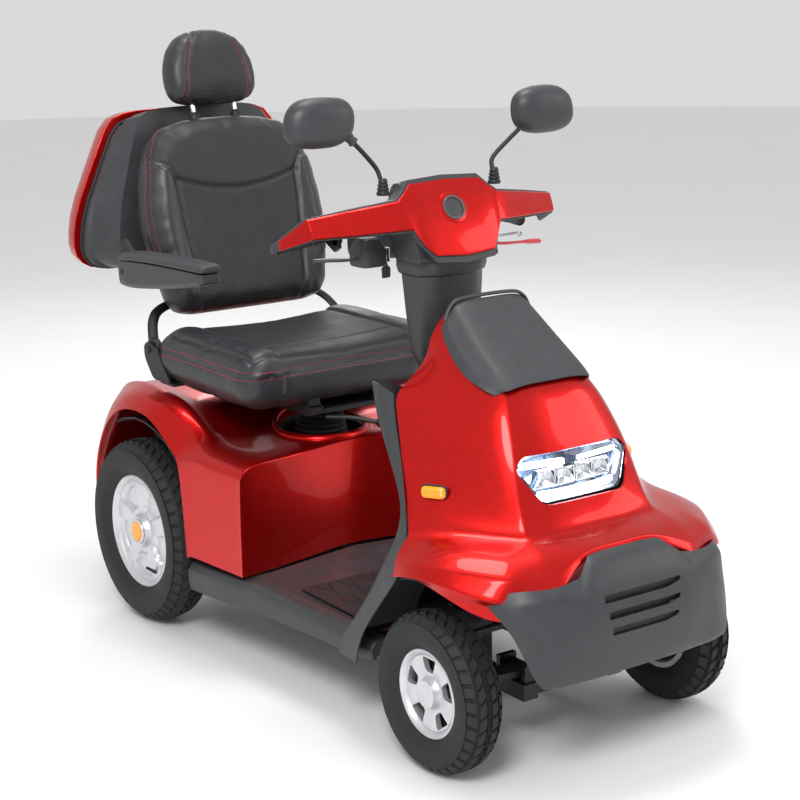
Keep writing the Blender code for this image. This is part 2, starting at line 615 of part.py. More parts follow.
# Front suspension and steering --------------------------------------------------------
def front_corner(name, side):
    pivot = (side * ARM_PIVOT_X, FRONT_AXLE_Y, ARM_Z)
    eye_ends = [(pivot[0], FRONT_AXLE_Y + along, ARM_Z) for along in (-0.030, 0.030)]
    web = [(side * 0.085, FRONT_AXLE_Y - 0.026), (side * 0.210, FRONT_AXLE_Y - 0.014),
           (side * 0.210, FRONT_AXLE_Y + 0.014), (side * 0.085, FRONT_AXLE_Y + 0.026)]
    king = Vector((side * KINGPIN_X, FRONT_AXLE_Y, ARM_Z))

    def boss(low, high, radius):
        return rod(king + Vector((0, 0, low)), king + Vector((0, 0, high)), radius, 14)

    arm = combined(rod(*eye_ends, 0.0115, 12), [
        prism(web, "Z", ARM_Z - 0.007, ARM_Z + 0.007),
        boss(-0.030, 0.030, 0.016),
    ])
    place(f"front_arm_{name}", arm, STEEL, pivot)
    hub = (side * 0.252, FRONT_AXLE_Y, FRONT_TYRE_R)
    knuckle = combined(boss(0.0305, 0.046, 0.0155), [
        boss(-0.046, -0.0305, 0.0155),
        box((side * 0.2385, FRONT_AXLE_Y, ARM_Z + 0.0385), (0.029, 0.024, 0.012)),
        box((side * 0.2385, FRONT_AXLE_Y, ARM_Z - 0.0385), (0.029, 0.024, 0.012)),
        box((side * 0.2485, FRONT_AXLE_Y, ARM_Z), (0.011, 0.028, 0.086)),
        rod(hub, (side * 0.2705, FRONT_AXLE_Y, FRONT_TYRE_R), 0.012, 12),
        box((side * 0.219, FRONT_AXLE_Y + 0.035, ARM_Z + 0.041), (0.018, 0.070, 0.009)),
    ])
    place(f"knuckle_{name}", knuckle, STEEL, king)


def steering():
    tie = box((0, FRONT_AXLE_Y + 0.060, ARM_Z + 0.0670), (0.440, 0.014, 0.010))
    place("tie_rod", tie, STEEL)
    foot, top = Vector(STEER_FOOT), Vector(TILT_PIVOT)
    lean = (top - foot).normalized()
    shaft = combined(
        rod(foot - lean * 0.115, top - lean * 0.030, 0.0135, 12),
        [
            rod(foot + lean * 0.0605, foot + lean * 0.070, 0.022, 12),
            box(top - lean * 0.034, (0.074, 0.030, 0.012)),
            box(top + Vector((-0.034, 0, -0.014)), (0.006, 0.030, 0.044)),
            box(top + Vector((0.034, 0, -0.014)), (0.006, 0.030, 0.044)),
        ],
    )
    place("steering_shaft", shaft, STEEL, STEER_FOOT)


def tiller_column():
    """The moulded column cover from the tilt hinge up to the handlebar's collar."""
    rings = []
    for z, y, wide, deep in (
        (0.668, -0.251, 0.060, 0.026), (0.700, -0.251, 0.074, 0.034), (0.780, -0.250, 0.076, 0.036),
        (0.850, -0.254, 0.078, 0.036), (0.866, -0.258, 0.084, 0.036), (0.8985, -0.262, 0.084, 0.036),
    ):
        corner = 0.35
        ring = []
        for sx, sy in ((-1, -1), (1, -1), (1, 1), (-1, 1)):
            first = (sx * wide, y + sy * deep * (1 - corner), z)
            second = (sx * wide * (1 - corner), y + sy * deep, z)
            ring += [first, second] if sx * sy > 0 else [second, first]
        rings.append(ring)
    cover = combined(loft(rings), [
        box((0, TILT_PIVOT[1], 0.650), (0.058, 0.030, 0.060)),
    ])
    place("tiller_column", cover, DARK, TILT_PIVOT)


def handlebar_stations(steps=3):
    """Top and bottom of the handlebar's front face, from the middle to the right-hand tip."""
    coarse = (
        ((0.000, -0.243, 1.046), (0.000, -0.332, 0.882)),
        ((0.086, -0.246, 1.042), (0.070, -0.328, 0.888)),
        ((0.104, -0.256, 1.024), (0.088, -0.312, 0.912)),
        ((0.124, -0.263, 1.009), (0.104, -0.296, 0.947)),
        ((0.212, -0.238, 0.997), (0.205, -0.264, 0.944)),
        ((0.298, -0.213, 0.984), (0.295, -0.233, 0.942)),
        ((0.330, -0.146, 0.930), (0.334, -0.152, 0.914)),
    )
    fine = []
    for first, second in zip(coarse, coarse[1:]):
        for k in range(steps):
            fine.append([Vector(p).lerp(Vector(q), k / steps) for p, q in zip(first, second)])
    fine.append([Vector(p) for p in coarse[-1]])
    return fine


def across(stations, section):
    """A solid over both halves: section gives one station's ring on the left-hand side."""
    half = [section(top, low) for top, low in stations]
    right = [[Vector((-p.x, p.y, p.z)) for p in ring] for ring in half[:0:-1]]
    return loft(right + half)


def handlebar():
    stations = handlebar_stations()

    def shell_ring(top, low):
        deep = 0.046 - 0.034 * max(0.0, (top.x - 0.19) / 0.14)
        front = [top, top.lerp(low, 0.5), low]
        back = [low.lerp(top, 0.10), top.lerp(low, 0.5), top.lerp(low, 0.10)]
        return front + [p + Vector((0, deep, -0.004)) for p in back]

    def panel_ring(top, low):
        edge = [top.lerp(low, t) for t in (0.05, 0.5, 0.95)]
        return [p + Vector((0, -0.0058, 0)) for p in edge] + [p + Vector((0, -0.0022, 0)) for p in edge[::-1]]

    profile = [
        (-0.306, 0.883), (-0.218, 0.884), (-0.198, 0.930),
        (-0.200, 1.010), (-0.214, 1.034), (-0.226, 1.036),
    ]
    console = prism(profile, "X", -0.096, 0.096)
    room = box((0, -0.260, 0.8495), (0.171, 0.0790, 0.100))
    whole = combined(across(stations, shell_ring), [console])
    place("handlebar_shell", combined(whole, [room], "DIFFERENCE"), DARK, TILT_PIVOT)
    place("handlebar_panel", across(stations[:-1], panel_ring), RED, TILT_PIVOT)


def controls():
    """The bar with its grips, the switch pod, the key and the three hand levers."""
    half = [
        (0.336, -0.100, 0.906), (0.316, -0.102, 0.908), (0.250, -0.146, 0.930), (0.120, -0.172, 0.943),
    ]
    left_to_right = half + [(-x, y, z) for x, y, z in half[::-1]]
    clamps = [box((x, -0.1855, 0.943), (0.030, 0.024, 0.032)) for x in (-0.055, 0.055)]
    place("handlebar_tube", combined(sweep(left_to_right, 0.0125, 10), clamps), RUBBER, TILT_PIVOT)
    pod = combined(box((-0.132, -0.178, 0.8900), (0.060, 0.062, 0.040), None, 0.008),
                   [box((-0.135, -0.196, 0.9100), (0.030, 0.020, 0.036))])
    place("control_pod", pod, DARK)
    key = combined(rod((-0.086, -0.172, 0.9020), (-0.086, -0.172, 0.8740), 0.0085, 12),
                   [box((-0.086, -0.172, 0.8580), (0.020, 0.0035, 0.034))])
    place("ignition_key", key, CHROME, (-0.086, -0.172, 0.8900))
    throttle = sweep([(-0.1642, -0.180, 0.8880), (-0.200, -0.172, 0.8900), (-0.246, -0.152, 0.8900),
                      (-0.250, -0.150, 0.8800)], 0.0048, 8)
    place("throttle_lever", throttle, SILVER, (-0.1640, -0.180, 0.8880))
    brake = sweep([(0.128, -0.182, 0.9000), (0.170, -0.186, 0.8980), (0.240, -0.168, 0.8960),
                   (0.276, -0.146, 0.8900)], 0.0050, 8)
    place("brake_lever", brake, SILVER, (0.128, -0.182, 0.9000))
    tilt_line = [(0.112, -0.232, 0.8960), (0.180, -0.224, 0.8890), (0.240, -0.196, 0.8820), (0.322, -0.155, 0.8710)]
    tilt = combined(sweep(tilt_line, 0.0048, 8), [box((0.318, -0.157, 0.8715), (0.024, 0.014, 0.014), None, 0.003)])
    place("tilt_lever", tilt, RED, (0.112, -0.232, 0.8960))


def mirrors():
    for name, side in SIDES:
        base = (side * 0.136, -0.240, 1.0165)
        stem = sweep([base, (side * 0.137, -0.232, 1.042), (side * 0.139, -0.226, 1.062),
                      (side * 0.200, -0.240, 1.120)], 0.0052, 8)
        stem = combined(stem, [rod(base, (side * 0.137, -0.236, 1.044), 0.011, 10)])
        place(f"mirror_stem_{name}", stem, BLACK, base)
        rings = []
        for back, grow in ((-0.024, 0.42), (-0.016, 0.80), (0.000, 0.98), (0.014, 1.0), (0.017, 0.93)):
            ring = []
            for k in range(16):
                angle = 2 * math.pi * k / 16
                c, s = math.cos(angle), math.sin(angle)
                x = 0.074 * math.copysign(abs(c) ** 0.72, c)
                z = 0.050 * math.copysign(abs(s) ** 0.78, s)
                ring.append((side * 0.272 + grow * x, -0.245 + back, 1.163 + grow * z))
            rings.append(ring)
        head = combined(loft(rings), [rod((side * 0.2035, -0.241, 1.1235), (side * 0.222, -0.243, 1.140),
                                          0.009, 10)])
        place(f"mirror_head_{name}", head, DARK, (side * 0.2035, -0.241, 1.1235))


# Seat ---------------------------------------------------------------------------------
def seat_base():
    post = rod((0, POST_Y, 0.345), (0, POST_Y, 0.5055), POST_R, 16)
    place("seat_post", post, CHROME, (0, POST_Y, 0.345))
    profile = [(0.4405, POST_R + 0.001), (0.4405, 0.060)]
    for k in range(5):
        base = 0.4445 + 0.0105 * k
        profile += [(base, 0.060 - 0.002 * k), (base + 0.005, 0.046)]
    profile += [(0.4975, 0.046), (0.4975, POST_R + 0.001)]
    place("post_bellows", turned(profile, 18, (0, POST_Y, 0.0), "Z"), RUBBER)
    plate = combined(box((0, POST_Y, 0.5110), (0.210, 0.220, 0.010)), [
        box((-0.090, POST_Y, 0.5200), (0.030, 0.260, 0.014)),
        box((0.090, POST_Y, 0.5200), (0.030, 0.260, 0.014)),
    ])
    place("seat_swivel", plate, STEEL, (0, POST_Y, 0.5060))
    rails = combined(box((0, 0.270, 0.5470), (0.330, 0.340, 0.006)), [
        box((-0.090, 0.260, 0.5365), (0.026, 0.330, 0.018)),
        box((0.090, 0.260, 0.5365), (0.026, 0.330, 0.018)),
        box((-0.2705, 0.452, 0.5900), (0.008, 0.090, 0.092)),
        box((0.2705, 0.452, 0.5900), (0.008, 0.090, 0.092)),
        box((0, 0.420, 0.5470), (0.549, 0.060, 0.006)),
    ])
    place("seat_rails", rails, STEEL, (0, 0.270, SEAT_SLIDE_Z))
    lever = sweep([(-0.060, 0.100, 0.4995), (-0.020, 0.060, 0.4990), (0.020, 0.020, 0.4900)], 0.0055, 8)
    knob = turned([(-0.016, 0.0), (-0.012, 0.009), (0.004, 0.0105), (0.012, 0.008), (0.015, 0.0)], 10,
                  (0.026, 0.014, 0.4885), "Y")
    place("seat_lever", combined(lever, [knob]), BLACK, (-0.060, 0.100, 0.4995))


def rounded_outline(wide, low, high, corner, steps=4):
    """A rectangle with round corners, as (across, up), from the low left corner."""
    points = []
    corners = ((wide, high, 0), (-wide, high, 90), (-wide, low, 180), (wide, low, 270))
    for x, z, start in corners:
        cx = x - math.copysign(corner, x)
        cz = z - corner if z == high else z + corner
        for k in range(steps):
            angle = math.radians(start + 90 * k / (steps - 1))
            points.append((cx + corner * math.cos(angle), cz + corner * math.sin(angle)))
    return points


def seat_cushion():
    rings = []
    for z, grow in ((0.5510, -0.024), (0.560, -0.006), (0.600, 0.0), (0.636, -0.008), (0.654, -0.030)):
        outline = rounded_outline(0.2600 + grow, 0.070 - grow, 0.470 + grow, 0.055 + grow * 0.5)
        rings.append([(x, y, z) for x, y in outline])
    place("seat_cushion", loft(rings), VINYL)


def lean_back(point):
    """A point of the upright backrest, leaned back about the recline hinge."""
    turn = Matrix.Rotation(-BACK_LEAN, 4, "X")
    return Vector(RECLINE) + turn @ (Vector(point) - Vector(RECLINE))


def leaned_pad(half, levels):
    """A pad whose upright outline is given by its left half, leaned back with the backrest."""
    centre = (half[0][1] + half[-1][1]) / 2
    wide = max(x for x, z in half)
    tall = (half[-1][1] - half[0][1]) / 2
    rings = []
    for back, grow in levels:
        left = [(x * (1 + grow / wide), centre + (z - centre) * (1 + grow / tall)) for x, z in half]
        outline = left + [(-x, z) for x, z in left[-2:0:-1]]
        rings.append([lean_back((x, RECLINE[1] + back, z)) for x, z in outline])
    return loft(rings)


def backrest():
    """The back's pad and the steel frame that carries it, the armrests and the box."""
    middle = RECLINE[1]
    half = (
        (0.0, 0.672), (0.150, 0.673), (0.184, 0.682), (0.203, 0.712), (0.218, 0.770), (0.231, 0.830),
        (0.237, 0.880), (0.234, 0.930), (0.225, 0.980), (0.212, 1.030), (0.193, 1.072), (0.160, 1.104),
        (0.105, 1.120), (0.0, 1.127),
    )
    pad = leaned_pad(half, ((-0.052, -0.030), (-0.038, -0.006), (0.0, 0.0), (0.032, -0.004), (0.042, -0.024)))
    sockets = [
        rod(lean_back((side * 0.055, middle, 1.02)), lean_back((side * 0.055, middle, 1.30)), 0.0066, 10)
        for side in (-1, 1)
    ]
    place("backrest", combined(pad, sockets, "DIFFERENCE"), VINYL, RECLINE)
    turn = Matrix.Rotation(-BACK_LEAN, 4, "X")
    behind = middle + 0.0505
    parts = [
        box(lean_back((0, behind, 0.830)), (0.300, 0.014, 0.360), turn),
        box(lean_back((0, behind - 0.002, 0.690)), (0.520, 0.010, 0.050), turn),
        box(lean_back((0, behind - 0.002, 0.800)), (0.520, 0.010, 0.040), turn),
    ]
    for side in (-1, 1):
        parts.append(box(lean_back((side * 0.256, middle + 0.015, 0.702)), (0.010, 0.078, 0.240), turn))
    place("back_frame", combined(parts[0], parts[1:]), STEEL, RECLINE)


def headrest():
    middle = RECLINE[1]
    half = (
        (0.0, 1.147), (0.070, 1.147), (0.094, 1.154), (0.107, 1.174), (0.110, 1.203), (0.106, 1.238),
        (0.094, 1.271), (0.072, 1.297), (0.040, 1.309), (0.0, 1.312),
    )
    pad = leaned_pad(half, ((-0.045, -0.026), (-0.032, -0.006), (0.0, 0.0), (0.030, -0.006), (0.040, -0.026)))
    posts = [
        rod(lean_back((side * 0.055, middle, 1.050)), lean_back((side * 0.055, middle, 1.200)), 0.006, 10)
        for side in (-1, 1)
    ]
    place("headrest", combined(pad, posts), VINYL)


def armrests():
    for name, side in SIDES:
        x = side * 0.3045
        hinge = Vector(ARMREST_HINGE)
        body = []
        for along, wide, low, high in (
            (0.514, 0.020, 0.776, 0.832), (0.500, 0.026, 0.768, 0.838), (0.420, 0.028, 0.778, 0.846),
            (0.260, 0.030, 0.798, 0.853), (0.165, 0.028, 0.812, 0.852), (0.140, 0.020, 0.820, 0.847),
        ):
            body.append([(x + sx * wide, along, z) for sx, z in
                         ((-1, low + 0.006), (-0.7, low), (0.7, low), (1, low + 0.006),
                          (1, high - 0.008), (0.7, high), (-0.7, high), (-1, high - 0.008))])
        place(f"armrest_{name}", loft(body), DARK, (x, hinge.y, hinge.z))


def rear_box():
    """The lockable box behind the backrest: a dark shell with a red lid on its rear side."""
    def outline(scale_x, scale_z):
        """The box's front-view outline, narrow above and wide below, shrunk about its middle."""
        half = [
            (0.0, 1.123), (0.140, 1.121), (0.196, 1.110), (0.226, 1.082), (0.296, 0.930),
            (0.318, 0.846), (0.318, 0.806), (0.300, 0.781), (0.262, 0.766), (0.0, 0.762),
        ]
        return [(x * scale_x, 0.94 + (z - 0.94) * scale_z) for x, z in half]

    def ring(scale_x, scale_z, y):
        half = [(-x, y, z) for x, z in outline(scale_x, scale_z)]
        return half + [(-x, y, z) for x, y, z in half[-2:0:-1]]

    def lean(rings, top, low):
        """Each ring's y follows the backrest: less depth above than below."""
        return [[(x, y + (top - low) * (z - 0.76) / 0.36 + low, z) for x, y, z in r] for r in rings]

    nose = (0.78, 1.04)
    front = lean([ring(*nose, 0.0)], 0.694, 0.640)
    floor = lean([ring(nose[0] * 0.97, nose[1] * 0.965, 0.004)], 0.694, 0.640)
    solid = loft(front + [ring(0.93, 1.02, 0.722), ring(1.0, 1.0, 0.730), ring(1.0, 1.0, 0.7445)])
    hollow = loft(floor + [ring(0.905, 0.985, 0.724), ring(0.965, 0.965, 0.732), ring(0.965, 0.965, 0.76)])
    box_shell = combined(solid, [hollow], "DIFFERENCE")
    mounts = [box((side * 0.095, 0.6490, 0.880), (0.030, 0.0260, 0.050)) for side in (-1, 1)]
    place("rear_box", combined(box_shell, mounts), DARK)
    outer = loft([ring(1.0, 1.004, 0.7455), ring(0.985, 0.99, 0.785), ring(0.93, 0.94, 0.822), ring(0.80, 0.80, 0.840)])
    inner = loft([ring(0.965, 0.97, 0.735), ring(0.960, 0.965, 0.782), ring(0.905, 0.915, 0.818), ring(0.775, 0.775, 0.836)])
    place("box_lid", combined(outer, [inner], "DIFFERENCE"), RED, BOX_HINGE)


# Assembly -----------------------------------------------------------------------------
for old in list(bpy.data.objects):
    bpy.data.objects.remove(old)
DATUM = bpy.data.objects.new("datum", None)
DATUM.location = (0, DATUM_Y, 0)
bpy.context.scene.collection.objects.link(DATUM)

chassis_frame()
rear_body()
for side_name, side_sign in SIDES:
    arch_liner(f"rear_arch_liner_{side_name}", side_sign)
    front_corner(side_name, side_sign)
floor_tray()
floor_mat()
front_cowl()
headlight()
leg_shield()
front_bumper()
cowl_lid()
lamps()
power_pack()
transaxle()
rear_springs()
wheels()
steering()
tiller_column()
handlebar()
controls()
mirrors()
seat_base()
seat_cushion()
backrest()
headrest()
armrests()
rear_box()
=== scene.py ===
"""Looks for the mobility scooter: detailed bodywork, wheels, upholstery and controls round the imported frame.

Front is -Y, the rider's right is -X and +Z is up. Places are given from the same datum as the
solid model's, on the ground between the wheels, and every piece is moved by DATUM_Y at the end.
"""

import json
import math

import bmesh
import bpy
from mathutils import Matrix, Vector
from mathutils.bvhtree import BVHTree


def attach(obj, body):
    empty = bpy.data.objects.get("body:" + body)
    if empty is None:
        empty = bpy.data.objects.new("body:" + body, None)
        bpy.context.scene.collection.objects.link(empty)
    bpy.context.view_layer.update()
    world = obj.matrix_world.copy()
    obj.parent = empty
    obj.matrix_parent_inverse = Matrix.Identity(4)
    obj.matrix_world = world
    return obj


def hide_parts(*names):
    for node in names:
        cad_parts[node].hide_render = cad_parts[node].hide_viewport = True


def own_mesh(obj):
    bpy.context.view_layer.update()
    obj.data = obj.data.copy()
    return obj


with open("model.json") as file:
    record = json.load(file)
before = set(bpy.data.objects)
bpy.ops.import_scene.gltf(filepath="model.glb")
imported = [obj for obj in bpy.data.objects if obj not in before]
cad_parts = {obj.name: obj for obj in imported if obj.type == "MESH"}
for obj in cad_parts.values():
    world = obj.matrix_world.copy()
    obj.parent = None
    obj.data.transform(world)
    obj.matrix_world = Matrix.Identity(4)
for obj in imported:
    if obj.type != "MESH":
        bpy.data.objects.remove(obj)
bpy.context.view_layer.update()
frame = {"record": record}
JOINTS = {joint["name"]: joint for joint in frame["record"]["behaviour"]["joints"]}
DATUM_Y = JOINTS["steering_turn"]["pos_m"][1] + 0.3

FRONT_AXLE = (0.284, -0.597, 0.153)
REAR_AXLE = (0.302, 0.463, 0.208)
POST_Y = 0.215
RECLINE = Vector((0.0, 0.495, 0.612))
BACK_LEAN = math.radians(15.0)
SIDES = (("right", -1), ("left", 1))


# Materials ----------------------------------------------------------------------------
def shaded(name, colour, roughness, metallic=0.0, **sockets):
    """A material with its Principled shader's own sockets set."""
    made = bpy.data.materials.new(name)
    made.use_nodes = True
    shader = made.node_tree.nodes["Principled BSDF"]
    shader.inputs["Base Color"].default_value = (*colour, 1.0)
    shader.inputs["Roughness"].default_value = roughness
    shader.inputs["Metallic"].default_value = metallic
    for socket, value in sockets.items():
        shader.inputs[socket.replace("_", " ").title().replace("Ior", "IOR")].default_value = value
    return made


def texture(made, kind, scale, **settings):
    """A texture node over the piece's own metres."""
    nodes, links = made.node_tree.nodes, made.node_tree.links
    place = nodes.new("ShaderNodeTexCoord")
    node = nodes.new(kind)
    node.inputs["Scale"].default_value = scale
    for key, value in settings.items():
        if hasattr(node, key):
            setattr(node, key, value)
        else:
            node.inputs[key.capitalize()].default_value = value
    links.new(place.outputs["Object"], node.inputs["Vector"])
    return node


def ramped(made, source, low, high, colours):
    nodes, links = made.node_tree.nodes, made.node_tree.links
    ramp = nodes.new("ShaderNodeValToRGB")
    ramp.color_ramp.elements[0].position = low
    ramp.color_ramp.elements[1].position = high
    for element, colour in zip(ramp.color_ramp.elements, colours):
        element.color = (*colour, 1.0) if len(colour) == 3 else colour
    links.new(source, ramp.inputs["Fac"])
    return ramp.outputs["Color"]


def bump(made, height, strength, distance):
    """Adds a bump to the material, on top of any bump it has."""
    nodes, links = made.node_tree.nodes, made.node_tree.links
    shader = nodes["Principled BSDF"]
    node = nodes.new("ShaderNodeBump")
    node.inputs["Strength"].default_value = strength
    node.inputs["Distance"].default_value = distance
    if shader.inputs["Normal"].is_linked:
        links.new(shader.inputs["Normal"].links[0].from_socket, node.inputs["Normal"])
    links.new(height, node.inputs["Height"])
    links.new(node.outputs["Normal"], shader.inputs["Normal"])


def varied(made, colour, spread, scale, rough=None):
    """Soft changes of colour, and of roughness if it is given, over the surface."""
    links = made.node_tree.links
    shader = made.node_tree.nodes["Principled BSDF"]
    noise = texture(made, "ShaderNodeTexNoise", scale, detail=6.0)
    darker = [c * (1 - spread) for c in colour]
    lighter = [min(1.0, c * (1 + spread)) for c in colour]
    links.new(ramped(made, noise.outputs["Fac"], 0.3, 0.7, (darker, lighter)), shader.inputs["Base Color"])
    if rough:
        low, high = ((value,) * 3 for value in rough)
        links.new(ramped(made, noise.outputs["Fac"], 0.3, 0.7, (low, high)), shader.inputs["Roughness"])


def paint(name, colour, flake=0.35):
    made = shaded(name, colour, 0.3, flake, Coat_weight=0.3, Coat_roughness=0.04, Specular_Ior_level=0.3)
    varied(made, colour, 0.07, 60.0)
    flakes = texture(made, "ShaderNodeTexVoronoi", 2600.0)
    bump(made, flakes.outputs["Distance"], 0.05, 0.0002)
    return made


def plastic(name, colour, roughness, grain=0.22, size=750.0):
    made = shaded(name, colour, roughness)
    varied(made, colour, 0.1, 35.0, (roughness - 0.05, roughness + 0.07))
    cells = texture(made, "ShaderNodeTexNoise", size, detail=3.0)
    bump(made, cells.outputs["Fac"], grain, 0.0008)
    return made


def leather(name, colour, roughness=0.4):
    made = shaded(name, colour, roughness)
    varied(made, colour, 0.12, 22.0, (roughness - 0.06, roughness + 0.08))
    cells = texture(made, "ShaderNodeTexVoronoi", 520.0, feature="DISTANCE_TO_EDGE")
    bump(made, cells.outputs["Distance"], 0.16, 0.0007)
    folds = texture(made, "ShaderNodeTexNoise", 26.0, detail=4.0)
    bump(made, folds.outputs["Fac"], 0.1, 0.006)
    return made


def perforated(name, colour, spacing=0.0042, size=0.3):
    """Leather with a regular grid of small punched holes, painted near-black inside as painted shade."""
    made = leather(name, colour, 0.5)
    links = made.node_tree.links
    shader = made.node_tree.nodes["Principled BSDF"]
    nodes = made.node_tree.nodes
    holes = texture(made, "ShaderNodeTexVoronoi", 1 / spacing, voronoi_dimensions="2D", randomness=0.0)
    split, joined = nodes.new("ShaderNodeSeparateXYZ"), nodes.new("ShaderNodeCombineXYZ")
    added = nodes.new("ShaderNodeMath")
    links.new(holes.inputs["Vector"].links[0].from_socket, split.inputs["Vector"])
    links.new(split.outputs["Y"], added.inputs[0])
    links.new(split.outputs["Z"], added.inputs[1])
    links.new(split.outputs["X"], joined.inputs["X"])
    links.new(added.outputs[0], joined.inputs["Y"])
    links.new(joined.outputs["Vector"], holes.inputs["Vector"])
    # Painted shade: the holes are coloured near-black for the shade inside them.
    black = tuple(c * 0.18 for c in colour)
    links.new(ramped(made, holes.outputs["Distance"], size, size + 0.1, (black, colour)),
              shader.inputs["Base Color"])
    bump(made, ramped(made, holes.outputs["Distance"], size, size + 0.12, ((0,) * 3, (1,) * 3)), 0.5, 0.001)
    return made


def metal(name, colour, roughness, metallic=1.0, brushed=0.06):
    made = shaded(name, colour, roughness, metallic)
    varied(made, colour, 0.06, 40.0, (roughness - 0.03, roughness + 0.06))
    grain = texture(made, "ShaderNodeTexNoise", 500.0, detail=4.0)
    bump(made, grain.outputs["Fac"], brushed, 0.0005)
    return made


RED = paint("candy_red_paint", (0.56, 0.005, 0.0035), 0.8)
CHARCOAL = plastic("charcoal_plastic", (0.034, 0.036, 0.04), 0.44)
GRAINED = plastic("grained_charcoal", (0.036, 0.038, 0.042), 0.5, 0.5, 420.0)
BLACK = plastic("black_plastic", (0.009, 0.009, 0.01), 0.5)
TYRE = plastic("tyre_rubber", (0.011, 0.011, 0.012), 0.68, 0.3, 300.0)
RUBBER = plastic("ribbed_rubber", (0.013, 0.013, 0.015), 0.58, 0.25, 500.0)
VINYL = leather("smooth_vinyl", (0.024, 0.0255, 0.029))
MESH = perforated("perforated_vinyl", (0.021, 0.0225, 0.026))
SILVER = metal("silver_wheel_paint", (0.66, 0.67, 0.69), 0.36, 0.75)
STEEL = metal("dark_powder_coat", (0.028, 0.028, 0.031), 0.42, 0.6)
BRIGHT = metal("bright_steel", (0.6, 0.61, 0.62), 0.28)
GREY_METAL = metal("grey_lever_paint", (0.11, 0.115, 0.12), 0.38, 0.6)
CHROME = metal("chrome_plate", (0.8, 0.81, 0.83), 0.08, 1.0, 0.01)
THREAD = plastic("red_thread", (0.6, 0.02, 0.03), 0.55, 0.4, 1500.0)
RED_PLASTIC = plastic("red_lever_plastic", (0.62, 0.012, 0.018), 0.35, 0.05)
CLEAR = shaded("clear_lens", (0.96, 0.98, 1.0), 0.02, 0.0, Transmission_weight=1.0, Ior=1.45)
bump(CLEAR, texture(CLEAR, "ShaderNodeTexNoise", 14.0).outputs["Fac"], 0.03, 0.002)
MIRROR = shaded("mirror_glass", (0.86, 0.88, 0.9), 0.02, 1.0)
bump(MIRROR, texture(MIRROR, "ShaderNodeTexNoise", 6.0).outputs["Fac"], 0.01, 0.002)
# Painted glow: the faint orange emission also makes the hub-cap reflectors glow, though they are no lamps.
GLOWING_AMBER = shaded("amber_lens", (0.95, 0.33, 0.01), 0.15, 0.0, Coat_weight=0.6, Emission_strength=0.25)
GLOWING_AMBER.node_tree.nodes["Principled BSDF"].inputs["Emission Color"].default_value = (1.0, 0.35, 0.02, 1.0)
ribs = texture(GLOWING_AMBER, "ShaderNodeTexWave", 220.0, bands_direction="Z")
bump(GLOWING_AMBER, ribs.outputs["Fac"], 0.5, 0.001)
RED_LENS = shaded("red_lens", (0.5, 0.008, 0.01), 0.12, 0.0, Coat_weight=0.8)
bump(RED_LENS, texture(RED_LENS, "ShaderNodeTexVoronoi", 160.0, randomness=0.0).outputs["Distance"], 0.5,
     0.002)
LIT = shaded("lit_strip", (0.95, 0.97, 1.0), 0.3, 0.0, Emission_strength=6.0)
LIT.node_tree.nodes["Principled BSDF"].inputs["Emission Color"].default_value = (0.93, 0.96, 1.0, 1.0)
bump(LIT, texture(LIT, "ShaderNodeTexVoronoi", 120.0, randomness=0.0).outputs["Distance"], 0.3, 0.002)
BLUE_CHROME = metal("lamp_reflector", (0.42, 0.5, 0.62), 0.12, 1.0, 0.02)


# Mesh helpers -------------------------------------------------------------------------
def loft(rings, closed=True, caps=True):
    """A skin over rings of points, a solid when both ends are capped."""
    bm = bmesh.new()
    verts = [[bm.verts.new(p) for p in ring] for ring in rings]
    count = len(rings[0])
    for first, second in zip(verts, verts[1:]):
        for i in range(count if closed else count - 1):
            j = (i + 1) % count
            bm.faces.new((first[i], first[j], second[j], second[i]))
    if caps:
        bm.faces.new(verts[0][::-1])
        bm.faces.new(verts[-1])
    return bm


def block(centre, size, turn=None):
    bm = bmesh.new()
    bmesh.ops.create_cube(bm, size=1.0)
    matrix = Matrix.Translation(centre) @ (turn or Matrix()) @ Matrix.Diagonal((*size, 1.0))
    bmesh.ops.transform(bm, matrix=matrix, verts=bm.verts)
    return bm


def curved(points, steps=6):
    """More points along a smooth line through these."""
    points = [Vector(p) for p in points]
    ends = [points[0] * 2 - points[1], *points, points[-1] * 2 - points[-2]]
    made = []
    for a, b, c, d in zip(ends, ends[1:], ends[2:], ends[3:]):
        for k in range(steps):
            t = k / steps
            made.append(0.5 * ((2 * b) + (c - a) * t + (2 * a - 5 * b + 4 * c - d) * t * t
                               + (3 * b - a - 3 * c + d) * t ** 3))
    return made + [points[-1]]


def sweep(points, radius, sides=12, flat=1.0):
    """A round bar along a bent line. radius may be a list, one for each point."""
    points = [Vector(p) for p in points]
    radii = radius if isinstance(radius, (list, tuple)) else [radius] * len(points)
    ahead = (points[1] - points[0]).normalized()
    across = (ahead.orthogonal() if abs(ahead.z) > 0.9 else Vector((0, 0, 1)).cross(ahead)).normalized()
    rings = []
    for i, point in enumerate(points):
        before = (point - points[i - 1]).normalized() if i else ahead
        after = (points[i + 1] - point).normalized() if i + 1 < len(points) else before
        along = (before + after).normalized()
        across = (across - along * across.dot(along)).normalized()
        other = along.cross(across)
        turns = [2 * math.pi * k / sides for k in range(sides)]
        rings.append([point + radii[i] * (math.cos(a) * across + flat * math.sin(a) * other) for a in turns])
    return loft(rings)


def turned(profile, steps, centre, axis="X", relief=None):
    """A closed profile of (along, radius) turned about an axis. relief(i, angle) shifts a point."""
    rings = []
    for k in range(steps):
        angle = 2 * math.pi * k / steps
        ring = []
        for i, (along, radius) in enumerate(profile):
            a, r, turn = relief(i, k, along, radius, angle) if relief else (along, radius, angle)
            across, up = r * math.cos(turn), r * math.sin(turn)
            local = {"X": (a, across, up), "Y": (across, a, up), "Z": (across, up, a)}[axis]
            ring.append(Vector(centre) + Vector(local))
        rings.append(ring)
    bm = loft(rings + [rings[0]], caps=False)
    bmesh.ops.remove_doubles(bm, verts=bm.verts, dist=1e-6)
    return bm


